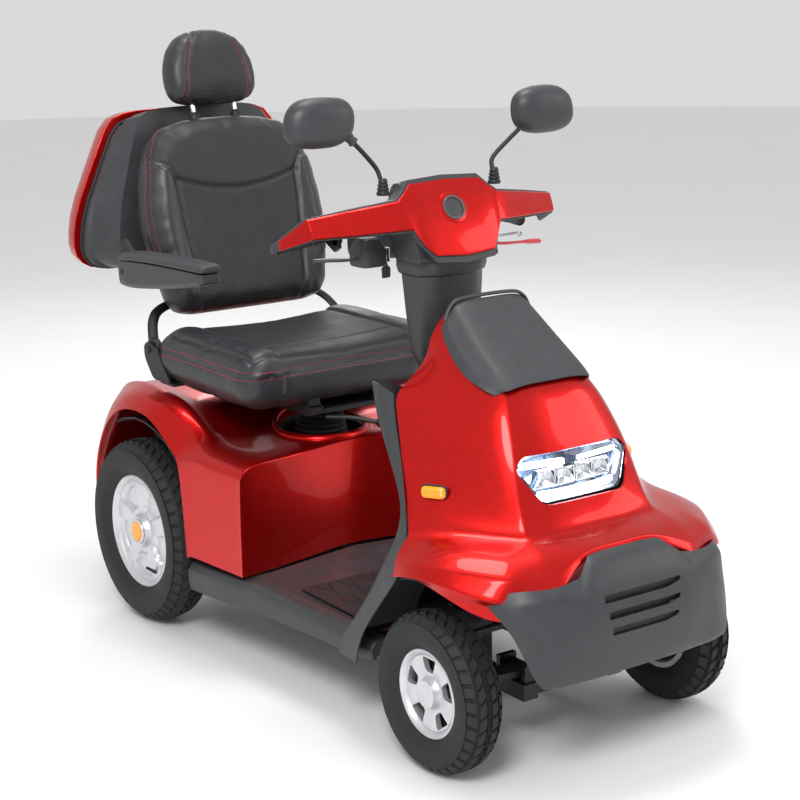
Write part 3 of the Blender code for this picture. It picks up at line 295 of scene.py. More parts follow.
def prism(outline, axis, low, high):
    """An outline in the two other axes, in X, Y, Z order, extruded along this one."""
    rings = []
    for along in (low, high):
        places = {
            "X": [(along, a, b) for a, b in outline],
            "Y": [(a, along, b) for a, b in outline],
            "Z": [(a, b, along) for a, b in outline],
        }
        rings.append(places[axis])
    return loft(rings)


def rounded(corners, radius, steps=5):
    """A closed 2-D outline with its corners rounded."""
    made = []
    count = len(corners)
    for i, corner in enumerate(corners):
        corner = Vector(corner)
        before, after = Vector(corners[i - 1]), Vector(corners[(i + 1) % count])
        reach = min(radius, (before - corner).length * 0.45, (after - corner).length * 0.45)
        start = corner + (before - corner).normalized() * reach
        end = corner + (after - corner).normalized() * reach
        for k in range(steps):
            t = k / (steps - 1)
            made.append(tuple(start.lerp(corner, t).lerp(corner.lerp(end, t), t)))
    return made


def merged(*parts):
    """Several closed meshes in one, as one moulding with its details."""
    whole = bmesh.new()
    for part in parts:
        mesh = bpy.data.meshes.new("part")
        bmesh.ops.recalc_face_normals(part, faces=part.faces)
        part.to_mesh(mesh)
        part.free()
        whole.from_mesh(mesh)
        bpy.data.meshes.remove(mesh)
    return whole


def cage(patches, creases=()):
    """Quad patches over the right half, joined, mirrored and facing up."""
    bm = bmesh.new()
    for rows in patches:
        verts = [[bm.verts.new(p) for p in row] for row in rows]
        for first, second in zip(verts, verts[1:]):
            for i in range(len(first) - 1):
                bm.faces.new((first[i], first[i + 1], second[i + 1], second[i]))
    bmesh.ops.remove_doubles(bm, verts=bm.verts, dist=1e-5)
    bmesh.ops.mirror(bm, geom=bm.verts[:] + bm.edges[:] + bm.faces[:], merge_dist=1e-5, axis="X")
    bmesh.ops.recalc_face_normals(bm, faces=bm.faces)
    bm.faces.ensure_lookup_table()
    top = max(bm.faces, key=lambda face: face.calc_center_median().z)
    if top.normal.z < 0:
        bmesh.ops.reverse_faces(bm, faces=bm.faces)
    layer = bm.edges.layers.float.new("crease_edge")
    for line, sharpness in creases:
        marked = [Vector(p) for p in line]
        for edge in bm.edges:
            ends = [Vector((-abs(v.co.x), v.co.y, v.co.z)) for v in edge.verts]
            if all(min((end - p).length for p in marked) < 1e-5 for end in ends):
                edge[layer] = sharpness
    return bm


def modifier(obj, kind, **settings):
    made = obj.modifiers.new(kind.lower(), kind)
    for key, value in settings.items():
        setattr(made, key, value)
    return made


def settled(obj):
    """Applies the modifiers so far to the mesh."""
    graph = bpy.context.evaluated_depsgraph_get()
    mesh = bpy.data.meshes.new_from_object(obj.evaluated_get(graph))
    obj.modifiers.clear()
    obj.data = mesh
    return obj


def build(name, bm, looks, smooth=38.0, recalc=True):
    """An object for a mesh that is already in the row frame's own place."""
    if recalc:
        bmesh.ops.recalc_face_normals(bm, faces=bm.faces)
    bmesh.ops.translate(bm, verts=bm.verts, vec=(0, DATUM_Y, 0))
    mesh = bpy.data.meshes.new(name)
    bm.to_mesh(mesh)
    bm.free()
    mesh.shade_smooth()
    mesh.set_sharp_from_angle(angle=math.radians(smooth))
    for look in looks if isinstance(looks, (list, tuple)) else (looks,):
        mesh.materials.append(look)
    obj = bpy.data.objects.new(name, mesh)
    bpy.context.scene.collection.objects.link(obj)
    return obj


def cut(obj, *cutters):
    """Takes these closed meshes away from the object."""
    helpers = []
    for bm in cutters:
        helper = build("cutter", bm, ())
        helpers.append(helper)
        modifier(obj, "BOOLEAN", operation="DIFFERENCE", object=helper)
    settled(obj)
    for helper in helpers:
        bpy.data.objects.remove(helper)


def piece(name, bm, looks, body, replaces=(), bevel=0.0, levels=0, smooth=38.0, recalc=True):
    """A finished piece that rides on a body."""
    obj = build(name, bm, looks, smooth, recalc)
    if bevel:
        modifier(obj, "BEVEL", width=bevel, segments=3, limit_method="ANGLE", angle_limit=math.radians(32))
    if levels:
        modifier(obj, "SUBSURF", levels=levels, render_levels=levels)
    declare(obj, body, replaces)
    return obj


def declare(obj, body, replaces=()):
    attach(obj, body)
    if replaces:
        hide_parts(*replaces)


# Bodywork -----------------------------------------------------------------------------
def reaching(obj, rounds=3):
    """Moves the cage out until its smooth surface passes through the places first given."""
    wanted = [v.co.copy() for v in obj.data.vertices]
    for _ in range(rounds):
        smooth = obj.evaluated_get(bpy.context.evaluated_depsgraph_get())
        reached = [v.co.copy() for v in smooth.data.vertices[:len(wanted)]]
        for vertex, target, now in zip(obj.data.vertices, wanted, reached):
            vertex.co += (target - now) * 0.8
        obj.data.update()
        bpy.context.view_layer.update()


def skinned(name, bm, look, body, replaces, wall=0.004, levels=3, cutters=()):
    """A smooth moulded skin with a real wall, cut where something passes through."""
    obj = build(name, bm, look, 60.0, recalc=False)
    modifier(obj, "SUBSURF", levels=levels, render_levels=levels, boundary_smooth="PRESERVE_CORNERS")
    reaching(obj)
    modifier(obj, "SOLIDIFY", thickness=wall, offset=-1.0)
    settled(obj)
    cut(obj, *cutters)
    obj.data.shade_smooth()
    obj.data.set_sharp_from_angle(angle=math.radians(50))
    modifier(obj, "BEVEL", width=0.0008, segments=2, limit_method="ANGLE", angle_limit=math.radians(50))
    declare(obj, body, replaces)
    return obj


def rear_body():
    """The red seat base over the rear wheels."""
    def front_y(x):
        return 0.035 + 0.06 * (1 - abs(x) / 0.33)

    deck = (
        (0.15, 0.444, (0.262, 0.15, 0.449), (0.3, 0.15, 0.441), (0.322, 0.15, 0.425)),
        (0.225, 0.446, (0.262, 0.225, 0.456), (0.302, 0.228, 0.446), (0.328, 0.235, 0.425)),
        (0.27, 0.452, (0.262, 0.27, 0.475), (0.306, 0.278, 0.458), (0.333, 0.28, 0.418)),
        (0.31, 0.472, (0.262, 0.31, 0.497), (0.308, 0.318, 0.486), (0.335, 0.325, 0.45)),
        (0.36, 0.498, (0.264, 0.362, 0.519), (0.312, 0.37, 0.51), (0.337, 0.375, 0.48)),
        (0.435, 0.51, (0.266, 0.438, 0.53), (0.315, 0.44, 0.519), (0.338, 0.44, 0.491)),
        (0.52, 0.514, (0.266, 0.52, 0.532), (0.315, 0.523, 0.514), (0.338, 0.525, 0.478)),
        (0.605, 0.51, (0.264, 0.603, 0.518), (0.312, 0.6, 0.48), (0.337, 0.6, 0.427)),
        (0.665, 0.485, (0.262, 0.66, 0.48), (0.31, 0.652, 0.42), (0.336, 0.645, 0.362)),
        (0.698, 0.38, (0.262, 0.692, 0.375), (0.308, 0.684, 0.335), (0.334, 0.668, 0.3)),
        (0.703, 0.27, (0.262, 0.698, 0.265), (0.306, 0.692, 0.256), (0.331, 0.676, 0.25)),
    )
    inner = (0.0, 0.105, 0.205)
    rows = []
    for back, z, flare_z, edge_z in ((0.0, 0.44, 0.434, 0.42), (0.022, 0.444, 0.438, 0.424)):
        row = [(x, front_y(x) + back, z) for x in (*inner, 0.262)]
        row.append((0.298, front_y(0.298) + back, flare_z))
        row.append((0.314, 0.038 + back, edge_z))
        rows.append(row)
    for y, z, crest, flare, lip in deck:
        rows.append([(x, y, z) for x in inner] + [crest, flare, lip])
    lower = ((0.316, 0.395), (0.3175, 0.3), (0.3175, 0.206))
    edge_rows = [[rows[0][-1]] + [(x, 0.04, z) for x, z in lower]]
    edge_rows.append([rows[1][-1]] + [(x + 0.001, 0.062, z) for x, z in lower])
    edge_rows.append([rows[2][-1]] + [(x + 0.008, 0.15, z) for x, z in lower])
    edge_rows.append([rows[3][-1]] + [(x + 0.015, 0.228, z) for x, z in lower])
    edge_rows.append([rows[4][-1], (0.335, 0.264, 0.385), (0.335, 0.253, 0.3), (0.334, 0.246, 0.198)])
    front = [rows[0]]
    for k, (x, z) in enumerate(lower):
        middle = [(c, front_y(c), z) for c in (*inner, 0.262)]
        front.append(middle + [(0.298, front_y(0.298), z), edge_rows[0][k + 1]])
    flip = [[[(-x, y, z) for x, y, z in row] for row in patch] for patch in (rows, edge_rows, front)]
    brow = [[(-x, y, z) for x, y, z in rows[0]], flip[1][0]]
    lip = [row[-1] for row in flip[0][2:]]
    crest = [row[3] for row in flip[0][3:]]
    corner = [row[5] for row in flip[0][:1]] + [row[-1] for row in flip[2][1:]]
    creases = ((brow[0], 0.6), (brow[1], 0.6), (lip, 0.7), (crest, 0.45), (corner, 0.7))
    hole = sweep([(0, POST_Y, 0.36), (0, POST_Y, 0.6)], 0.098, 64)
    skinned("seat_base_shell", cage(flip, creases), RED, "chassis", ("rear_body",), cutters=(hole,))


def deck_height(y):
    """Height of the middle of the seat base's deck at this place along it."""
    table = ((0.1, 0.4445), (0.15, 0.444), (0.225, 0.4465), (0.27, 0.4545), (0.31, 0.4715), (0.36, 0.4945))
    for (y0, z0), (y1, z1) in zip(table, table[1:]):
        if y <= y1:
            t = max(0.0, (y - y0) / (y1 - y0))
            return z0 + (z1 - z0) * t
    return table[-1][1]


def seat_well():
    """The raised red rim, the black dish and the bellows round the seat post."""
    def on_deck(bm, keep=1.0):
        for v in bm.verts:
            v.co.z += (deck_height(v.co.y) - 0.4445) * keep
        return bm

    ring = [(-0.006, 0.095), (0.004, 0.0945), (0.0095, 0.0985), (0.0095, 0.105), (0.003, 0.111),
            (-0.006, 0.1125)]
    rim = turned([(0.4445 + a, r) for a, r in ring], 64, (0, POST_Y, 0), "Z")
    piece("seat_well_rim", on_deck(rim), RED, "chassis", levels=1)
    dish = [(0.444, 0.094), (0.429, 0.09), (0.425, 0.08), (0.425, 0.0625), (0.421, 0.0625),
            (0.421, 0.083), (0.439, 0.094)]
    piece("seat_well_dish", on_deck(turned(dish, 64, (0, POST_Y, 0), "Z"), 0.6), BLACK, "chassis", levels=1)
    profile = [(0.427, 0.0272), (0.427, 0.06)]
    for k in range(6):
        base, out = 0.43 + 0.0112 * k, 0.0615 - 0.0022 * k
        profile += [(base, out - 0.011), (base + 0.0028, out - 0.002), (base + 0.0056, out),
                    (base + 0.0084, out - 0.002)]
    profile += [(0.498, 0.04), (0.498, 0.0272)]
    piece("seat_bellows", turned(profile, 48, (0, POST_Y, 0), "Z"), RUBBER, "chassis", ("post_bellows",),
          levels=1)


def cowl_rows():
    return [
        [(0, -.375, .806), (.05, -.375, .805), (.088, -.372, .798), (.102, -.37, .784),
         (.112, -.366, .768), (.118, -.362, .752)],
        [(0, -.4, .793), (.05, -.4, .792), (.092, -.398, .784), (.11, -.392, .762),
         (.124, -.38, .735), (.134, -.366, .718)],
        [(0, -.485, .742), (.055, -.485, .741), (.098, -.482, .732), (.124, -.466, .706),
         (.152, -.42, .69), (.172, -.368, .682)],
        [(0, -.566, .69), (.06, -.566, .689), (.101, -.562, .68), (.13, -.54, .664),
         (.172, -.46, .65), (.206, -.372, .656)],
        [(0, -.598, .65), (.065, -.598, .649), (.112, -.592, .641), (.142, -.566, .63),
         (.188, -.482, .615), (.22, -.394, .612)],
        [(0, -.64, .582), (.075, -.639, .581), (.13, -.63, .573), (.16, -.6, .564),
         (.206, -.516, .552), (.24, -.432, .549)],
        [(0, -.672, .506), (.08, -.671, .505), (.143, -.66, .5), (.174, -.628, .492),
         (.226, -.548, .485), (.262, -.472, .484)],
        [(0, -.696, .455), (.082, -.695, .455), (.15, -.686, .452), (.184, -.646, .45),
         (.24, -.574, .448), (.282, -.508, .444)],
        [(0, -.712, .44), (.085, -.711, .44), (.158, -.704, .438), (.196, -.664, .437),
         (.254, -.594, .436), (.296, -.522, .43)],
        [(0, -.745, .432), (.085, -.745, .432), (.165, -.748, .422), (.228, -.712, .422),
         (.286, -.62, .426), (.312, -.524, .414)],
        [(0, -.768, .424), (.085, -.77, .422), (.165, -.786, .394), (.248, -.75, .398),
         (.322, -.632, .406), (.326, -.526, .394)],
        [(0, -.774, .412), (.086, -.776, .408), (.16, -.799, .377), (.274, -.75, .361),
         (.334, -.64, .385), (.334, -.53, .366)],
    ]


def front_cowl():
    rows = [[(-x, y, z) for x, y, z in row] for row in cowl_rows()]
    ridge = [row[2] for row in rows[2:]]
    creases = ((ridge, 0.8), (rows[8], 0.75), (rows[-2], 0.6), ([row[3] for row in rows[8:]], 0.6),
               (rows[-1], 0.7))
    tuck = zip(rows[-1], (0.04, 0.04, 0.046, 0.04, 0.012, 0.008))
    rows.append([(x * 0.975, y + 0.02, z - drop) for (x, y, z), drop in tuck])
    opening = prism(rounded(lamp_outline(0.0), 0.016), "Y", -0.74, -0.56)
    skinned("front_cowl_shell", cage([rows], creases), RED, "chassis", ("front_cowl",), cutters=(opening,))


# Headlight and small lamps ------------------------------------------------------------
def lamp_outline(grow):
    top, low, wide = 0.575 + grow, 0.488 - grow, 0.137 + grow
    return [(-0.115, top), (0.115, top), (wide, 0.553), (0.097 + grow, low), (-0.097 - grow, low),
            (-wide, 0.553)]


def lamp_face(x, z):
    """Where the lamp's glass lies, following the cowl."""
    return -0.6455 - (0.568 - z) * 0.36 + 0.9 * x * x


def headlight():
    outline = rounded(lamp_outline(-0.0022), 0.016, 7)
    rings = []
    for back, grow in ((0.006, 1.0), (0.0015, 1.0), (0.0, 0.975)):
        rings.append([(x * grow, lamp_face(x, z) + back, 0.53 + (z - 0.53) * grow) for x, z in outline])
    piece("headlight_glass", loft(rings), CLEAR, "chassis", ("headlight_lens",), levels=0)
    inner = [(x * 0.965, 0.53 + (z - 0.53) * 0.92) for x, z in outline]
    rings = [[(x, lamp_face(x, z) + 0.008, z) for x, z in outline], [(x, -0.572, z) for x, z in outline]]
    inside = [[(x, lamp_face(x, z) - 0.03, z) for x, z in inner],
              [(x * 0.93, -0.6 + 0.2 * x * x, 0.53 + (z - 0.53) * 0.86) for x, z in inner]]
    obj = build("headlight_reflector", loft(rings), BLUE_CHROME)
    cut(obj, loft(inside))
    obj.data.materials.clear()
    obj.data.materials.append(BLUE_CHROME)
    declare(obj, "chassis", ("headlight_housing",))

    def strip(points, height, deep=0.008):
        """A lit bar that follows the glass, a little behind it."""
        rings = []
        for place in curved([(x, z, 0) for x, z in points], 4):
            x, z = place.x, place.y
            y = lamp_face(x, z) + 0.011
            rings.append([(x, y, z - height / 2), (x, y, z + height / 2),
                          (x, y + deep, z + height / 2), (x, y + deep, z - height / 2)])
        return loft(rings)

    bars = [strip([(-0.114, 0.553), (-0.06, 0.553), (-0.02, 0.552)], 0.011)]
    bars.append(strip([(-0.088, 0.503), (0.0, 0.5015), (0.088, 0.503)], 0.009))
    bars.append(strip([(0.014, 0.552), (0.06, 0.553), (0.112, 0.553)], 0.007))
    piece("headlight_strips", merged(*bars), LIT, "chassis", bevel=0.0012)
    cells = []
    for x in (-0.066, -0.022, 0.022, 0.066):
        y = lamp_face(x, 0.528) + 0.012
        ring = [(x + sx * 0.0185, y, 0.528 + sz * 0.014) for sx, sz in ((-1, -1), (1, -1), (1, 1), (-1, 1))]
        deep = [(x + (px - x) * 0.55, y + 0.016, 0.528 + (pz - 0.528) * 0.55) for px, _, pz in ring]
        frame_ring = [(x + (px - x) * 1.1, y, 0.528 + (pz - 0.528) * 1.12) for px, _, pz in ring]
        back = [(px, y + 0.018, pz) for px, _, pz in frame_ring]
        cup = loft([back, frame_ring, ring, deep])
        cells.append(cup)
    piece("headlight_cells", merged(*cells), CHROME, "chassis", bevel=0.0012)


def capsule(centre, size, turn, steps=9):
    """A lens with round ends, domed outwards along the local X."""
    deep, long, high = size
    rings = []
    outline = rounded([(-long / 2, -high / 2), (long / 2, -high / 2), (long / 2, high / 2),
                       (-long / 2, high / 2)],
                      high * 0.48, steps)
    for along, grow in ((-deep / 2, 0.96), (0.0, 1.0), (deep * 0.28, 0.93), (deep * 0.5, 0.66)):
        rings.append([Vector(centre) + turn @ Vector((along, a * grow, b * grow)) for a, b in outline])
    return loft(rings)


def lamps():
    for name, side in SIDES:
        turn = Matrix.Rotation(math.radians(-30 if side > 0 else 210), 4, "Z")
        place = Vector((side * 0.238, -0.527, 0.506))
        piece(f"side_signal_lens_{name}", capsule(place, (0.015, 0.05, 0.023), turn), GLOWING_AMBER, "chassis",
              (f"side_signal_{name}",), levels=1)
        base = capsule(place + turn @ Vector((-0.0048, 0, 0)), (0.0075, 0.056, 0.029), turn)
        stalk = sweep([place + turn @ Vector((a, 0, 0)) for a in (-0.006, -0.012, -0.018, -0.026)],
                      [0.0085, 0.008, 0.0088, 0.0115], 16)
        piece(f"side_signal_base_{name}", merged(base, stalk), BLACK, "chassis", levels=1)
    outline = rounded([(-0.208, 0.377), (0.208, 0.377), (0.208, 0.423), (-0.208, 0.423)], 0.012)
    rings = [[(x * g, 0.7065 + back, 0.4 + (z - 0.4) * g) for x, z in outline]
             for back, g in ((0.0, 1.0), (0.012, 1.0), (0.0185, 0.97), (0.02, 0.93))]
    piece("tail_lamp_lens", loft(rings), RED_LENS, "chassis", ("tail_lamp",))


# Dark trim ----------------------------------------------------------------------------
def leg_shield():
    rows = [
        [(0, -.2, .628), (.06, -.2, .628), (.098, -.232, .632), (.15, -.285, .655),
         (.214, -.302, .672), (.218, -.33, .672), (.209, -.364, .658)],
        [(0, -.196, .6), (.06, -.196, .6), (.1, -.236, .6), (.155, -.305, .605),
         (.228, -.338, .61), (.234, -.36, .61), (.223, -.389, .612)],
        [(0, -.19, .52), (.06, -.19, .52), (.105, -.24, .52), (.165, -.345, .525),
         (.246, -.405, .535), (.254, -.42, .538), (.244, -.434, .549)],
        [(0, -.186, .44), (.06, -.186, .44), (.108, -.245, .44), (.175, -.38, .44),
         (.27, -.47, .455), (.28, -.482, .458), (.285, -.505, .444)],
        [(0, -.184, .37), (.06, -.184, .37), (.11, -.25, .37), (.18, -.385, .37),
         (.29, -.452, .375), (.306, -.466, .378), (.318, -.532, .38)],
        [(0, -.182, .3), (.06, -.182, .3), (.112, -.255, .3), (.182, -.37, .3),
         (.298, -.415, .305), (.316, -.428, .306), (.324, -.492, .318)],
        [(0, -.18, .235), (.06, -.18, .235), (.114, -.258, .235), (.182, -.35, .235),
         (.298, -.366, .24), (.317, -.376, .24), (.325, -.44, .256)],
        [(0, -.178, .192), (.06, -.178, .192), (.116, -.256, .192), (.182, -.335, .192),
         (.29, -.335, .2), (.317, -.34, .196), (.325, -.404, .204)],
        [(0, -.177, .186), (.06, -.177, .186), (.116, -.256, .186), (.182, -.33, .186),
         (.292, -.312, .17), (.316, -.314, .15), (.323, -.384, .15)],
    ]
    flip = [[(-x, y, z) for x, y, z in row] for row in rows]
    edges = ([row[4] for row in flip], 0.6), ([row[5] for row in flip], 0.6), ([row[1] for row in flip], 0.5)
    skinned("leg_shield_shell", cage([flip], edges), CHARCOAL, "chassis", ("leg_shield",), 0.003, 2)


def front_liners():
    """The dark arch behind and over each front wheel."""
    for name, side in SIDES:
        rings = []
        for degrees in range(18, 103, 7):
            turn = math.radians(degrees)
            rings.append([(side * x, -0.597 + r * math.cos(turn), 0.153 + r * math.sin(turn))
                          for x, r in ((0.19, 0.214), (0.316, 0.214), (0.316, 0.217), (0.19, 0.217))])
        piece(f"front_arch_liner_{name}", loft(rings), BLACK, "chassis")


def front_bumper():
    rows = [
        [(0, -.779, .422), (.055, -.7795, .4215), (.086, -.781, .418), (.122, -.801, .39),
         (.172, -.798, .382), (.222, -.782, .382), (.256, -.75, .375), (.2785, -.728, .36)],
        [(0, -.8, .412), (.06, -.8, .411), (.096, -.8, .406), (.13, -.814, .374),
         (.176, -.813, .366), (.224, -.797, .362), (.256, -.772, .354), (.274, -.748, .342)],
        [(0, -.83, .37), (.06, -.83, .37), (.108, -.829, .366), (.138, -.826, .356),
         (.176, -.818, .346), (.214, -.806, .338), (.244, -.79, .327), (.262, -.772, .316)],
        [(0, -.845, .31), (.06, -.845, .31), (.112, -.843, .308), (.142, -.838, .304),
         (.172, -.83, .298), (.2, -.822, .293), (.23, -.808, .285), (.249, -.795, .276)],
        [(0, -.844, .25), (.06, -.844, .25), (.112, -.842, .249), (.14, -.838, .247),
         (.166, -.834, .244), (.19, -.83, .241), (.218, -.822, .237), (.236, -.812, .233)],
        [(0, -.837, .212), (.06, -.837, .212), (.108, -.835, .211), (.134, -.833, .211),
         (.156, -.831, .211), (.178, -.83, .211), (.202, -.826, .211), (.222, -.82, .212)],
        [(0, -.816, .201), (.06, -.816, .201), (.104, -.815, .201), (.126, -.814, .201),
         (.144, -.813, .201), (.164, -.812, .201), (.186, -.808, .202), (.204, -.802, .204)],
    ]
    flip = [[(-x, y, z) for x, y, z in row] for row in rows]
    creases = [([row[3] for row in flip], 0.55), ([row[2] for row in flip], 0.65), (flip[0], 0.6),
               (flip[1], 0.4)]
    slots, backs = [], []
    for k, z in enumerate((0.352, 0.322, 0.292)):
        wide = 0.092 - 0.006 * k
        y = -0.834 - 0.01 * k / 2
        corners = rounded([(-wide, z - 0.0075), (wide * 0.62, z - 0.0075), (wide, z - 0.001),
                           (wide, z + 0.0065),
                           (-wide, z + 0.0065)], 0.003)
        slots.append(prism(corners, "Y", y - 0.02, y + 0.02))
        # Painted shade: black plates just behind each slot make the louvres read dark inside.
        outer = [(x * 1.06, z + (h - z) * 1.5) for x, h in corners]
        backs.append(loft([[(x, y + 0.005, h) for x, h in outer],
                           [(x, y + 0.0095, h + 0.002) for x, h in outer]]))
    skinned("front_bumper_shell", cage([flip], creases), CHARCOAL, "chassis", ("front_bumper",), 0.0035, 2,
            slots)
    piece("bumper_louvre_shade_plates", merged(*backs), BLACK, "chassis", bevel=0.0006)


def cowl_lid():
    """The grained cover on the cowl, with a raised lip at its rear edge."""
    lift = 0.0052
    rows = []
    for y, z, wide, side_y, side_z, side_x in (
        (-0.39, 0.818, 0.08, -0.392, 0.79, 0.102),
        (-0.401, 0.811, 0.083, -0.401, 0.782, 0.106),
        (-0.418, 0.7995, 0.086, -0.415, 0.766, 0.112),
        (-0.485, 0.75, 0.094, -0.476, 0.718, 0.121),
        (-0.54, 0.7135, 0.097, -0.528, 0.6885, 0.12),
        (-0.566, 0.6955, 0.097, -0.55, 0.679, 0.114),
        (-0.578, 0.687, 0.096, -0.562, 0.674, 0.106),
    ):
        edge = (side_x + 0.008, side_y + 0.006, side_z + lift)
        skirt = 0.017 if y > -0.5 else 0.005
        rows.append([
            (0, y, z + lift), (-wide * 0.6, y, z + lift), (-wide, y + 0.002, z - 0.006 + lift),
            (-side_x, side_y, side_z + lift), (-edge[0], edge[1], edge[2] - skirt),
        ])
    creases = ([row[2] for row in rows], 0.35), ([row[3] for row in rows], 0.55), (rows[-1], 0.8)
    skinned("cowl_lid_cover", cage([rows], creases), GRAINED, "chassis", ("cowl_lid",), 0.003, 3)
    lip = curved([(-0.104, -0.39, 0.79), (-0.088, -0.388, 0.816), (-0.055, -0.387, 0.827),
                  (0.055, -0.387, 0.827),
                  (0.088, -0.388, 0.816), (0.104, -0.39, 0.79)], 6)
    piece("cowl_lid_lip", sweep(lip, 0.0045, 10, 0.8), CHARCOAL, "chassis")


def floor():
    """The floor's rounded sills and roll, and the mat with slanting ribs."""
    def half(y, deck, rim, width, low):
        return [
            (0.0, y, deck), (width - 0.075, y, deck), (width - 0.052, y, (deck + rim) / 2),
            (width - 0.035, y, rim), (width - 0.012, y, rim - 0.004), (width - 0.001, y, rim - 0.018),
            (width, y, (rim + low) / 2), (width - 0.004, y, low), (width - 0.014, y, low),
            (width - 0.014, y, deck - 0.022), (0.0, y, deck - 0.014),
        ]

    stations = (
        (-0.392, 0.177, 0.19, 0.292, 0.147, 0.0), (-0.33, 0.178, 0.196, 0.3, 0.145, 0.0),
        (-0.15, 0.18, 0.199, 0.308, 0.142, 0.1), (-0.04, 0.181, 0.201, 0.313, 0.138, 0.5),
        (-0.02, 0.183, 0.202, 0.315, 0.138, 0.7), (0.008, 0.199, 0.206, 0.317, 0.137, 1.0),
        (0.03, 0.203, 0.2035, 0.3185, 0.136, 1.0), (0.062, 0.19, 0.1985, 0.322, 0.134, 1.0),
        (0.13, 0.176, 0.1965, 0.329, 0.131, 0.2), (0.244, 0.176, 0.193, 0.336, 0.128, 0.0),
    )
    rings = []
    for y, deck, rim, width, low, bow in stations:
        points = half(y, deck, rim, width, low)
        right = [(-x, py + bow * 0.055 * (1 - x / 0.33), z) for x, py, z in points]
        rings.append(right + [(-x, py, z) for x, py, z in right[-2:0:-1]])
    obj = build("floor_tray_shell", loft(rings), CHARCOAL)
    modifier(obj, "BEVEL", width=0.004, segments=3, limit_method="ANGLE", angle_limit=math.radians(25))
    settled(obj)
    cut(obj, block((0, -0.3, 0.17), (0.07, 0.08, 0.1)), block((0, 0.25, 0.16), (0.47, 0.3, 0.2)))
    obj.data.shade_smooth()
    obj.data.set_sharp_from_angle(angle=math.radians(40))
    declare(obj, "chassis", ("floor_tray",))
    base = prism(rounded([(-0.231, -0.26), (0.231, -0.26), (0.227, -0.041), (-0.227, -0.041)], 0.012), "Z",
                 0.1826, 0.1856)
    ribs = []
    for k in range(15):
        x = -0.195 + 0.0279 * k
        lean = 0.03 if k % 2 == 0 else -0.03
        for start, end in ((-0.25, -0.155), (-0.146, -0.052)):
            points = [(x, start, 0.1862), (x + lean * 0.5, (start + end) / 2, 0.1862),
                      (x + lean, end, 0.1862)]
            ribs.append(sweep(points, 0.0022, 6, 0.7))
    piece("floor_mat_ribbed", merged(base, *ribs), RUBBER, "chassis", ("floor_mat",), bevel=0.0006)


def arch_bracket():
    """A grey bracket with square holes on each rear arch liner."""
    for name, side in SIDES:
        plate = build(f"arch_bracket_{name}", prism(rounded([(0.3, 0.3), (0.345, 0.3), (0.345, 0.365),
                                                             (0.3, 0.365)],
                                                            0.005), "X", 0.233, 0.2355), BRIGHT)
        cut(plate, *[block((0.234, 0.312 + 0.011 * c, 0.315 + 0.018 * r), (0.02, 0.007, 0.009))
                     for c in range(3) for r in range(3)])
        if side < 0:
            plate.data.transform(Matrix.Scale(-1, 4, (1, 0, 0)))
            plate.data.flip_normals()
        plate.data.materials.clear()
        plate.data.materials.append(STEEL)
        declare(plate, "chassis")


# Wheels -------------------------------------------------------------------------------
def tyre(name, centre, radius, width, rim, blocks, skew, depth, body, node, rows):
    """A tyre whose tread blocks stand out of its own skin. skew slants the blocks row by row."""
    half, wall = width / 2, radius - rim
    crown = radius - depth
    side = [(-half * 0.66, rim - 0.004), (-half * 0.8, rim + 0.004), (-half * 0.93, rim + wall * 0.22),
            (-half * 0.955, rim + wall * 0.26), (-half * 0.97, rim + wall * 0.36),
            (-half * 1.0, rim + wall * 0.55),
            (-half * 0.97, rim + wall * 0.72)]
    profile = [(a, r, 0.0, 0) for a, r in side]
    edge = 0.0012
    for k, (low, high) in enumerate(rows):
        for a, up in ((low, 0.0), (low + edge / half, 1.0), (high - edge / half, 1.0), (high, 0.0)):
            along = a * half * 0.97
            drop = (radius - rim) * (0.3 * abs(a) ** 3.2)
            profile.append((along, crown - drop, up, k + 1))
    profile += [(-a, r, 0.0, 0) for a, r in side[::-1]]
    cuts = (0.0, 0.05, 0.16, 0.84, 0.95)
    raised = (0.0, 0.0, 1.0, 1.0, 0.0)
    pitch = 2 * math.pi / blocks

    def relief(i, k, along, r, angle):
        step, part = divmod(k, len(cuts))
        up, row = profile[i][2], profile[i][3]
        shift = skew * abs(along) / half + (0.5 if row % 2 else 0.0) if row else 0.0
        shift += 0.16 * math.sin(along / half * 9.0) if row else 0.0
        return along, r + depth * up * raised[part], (step + cuts[part] + shift) * pitch

    bm = turned([(a, r) for a, r, _, _ in profile], blocks * len(cuts), centre, "X", relief)
    piece(name, bm, TYRE, body, (node,), smooth=32.0)


def rim_relief(inner, outer, count, deep, turn, half_wide):
    """Pockets sunk between the spokes of a cast wheel."""
    def relief(i, k, along, r, angle):
        place = (angle - turn) / (2 * math.pi) * count % 1.0 - 0.5
        reach = half_wide * (0.78 + 0.3 * (r - inner) / (outer - inner))
        side = min(1.0, max(0.0, (reach - abs(place)) / 0.055))
        band = min(1.0, max(0.0, min(r - inner, outer - r) / 0.008))
        mask = (side * side * (3 - 2 * side)) * (band * band * (3 - 2 * band))
        return (along - deep * mask if outer > r > inner else along), r, angle
    return relief


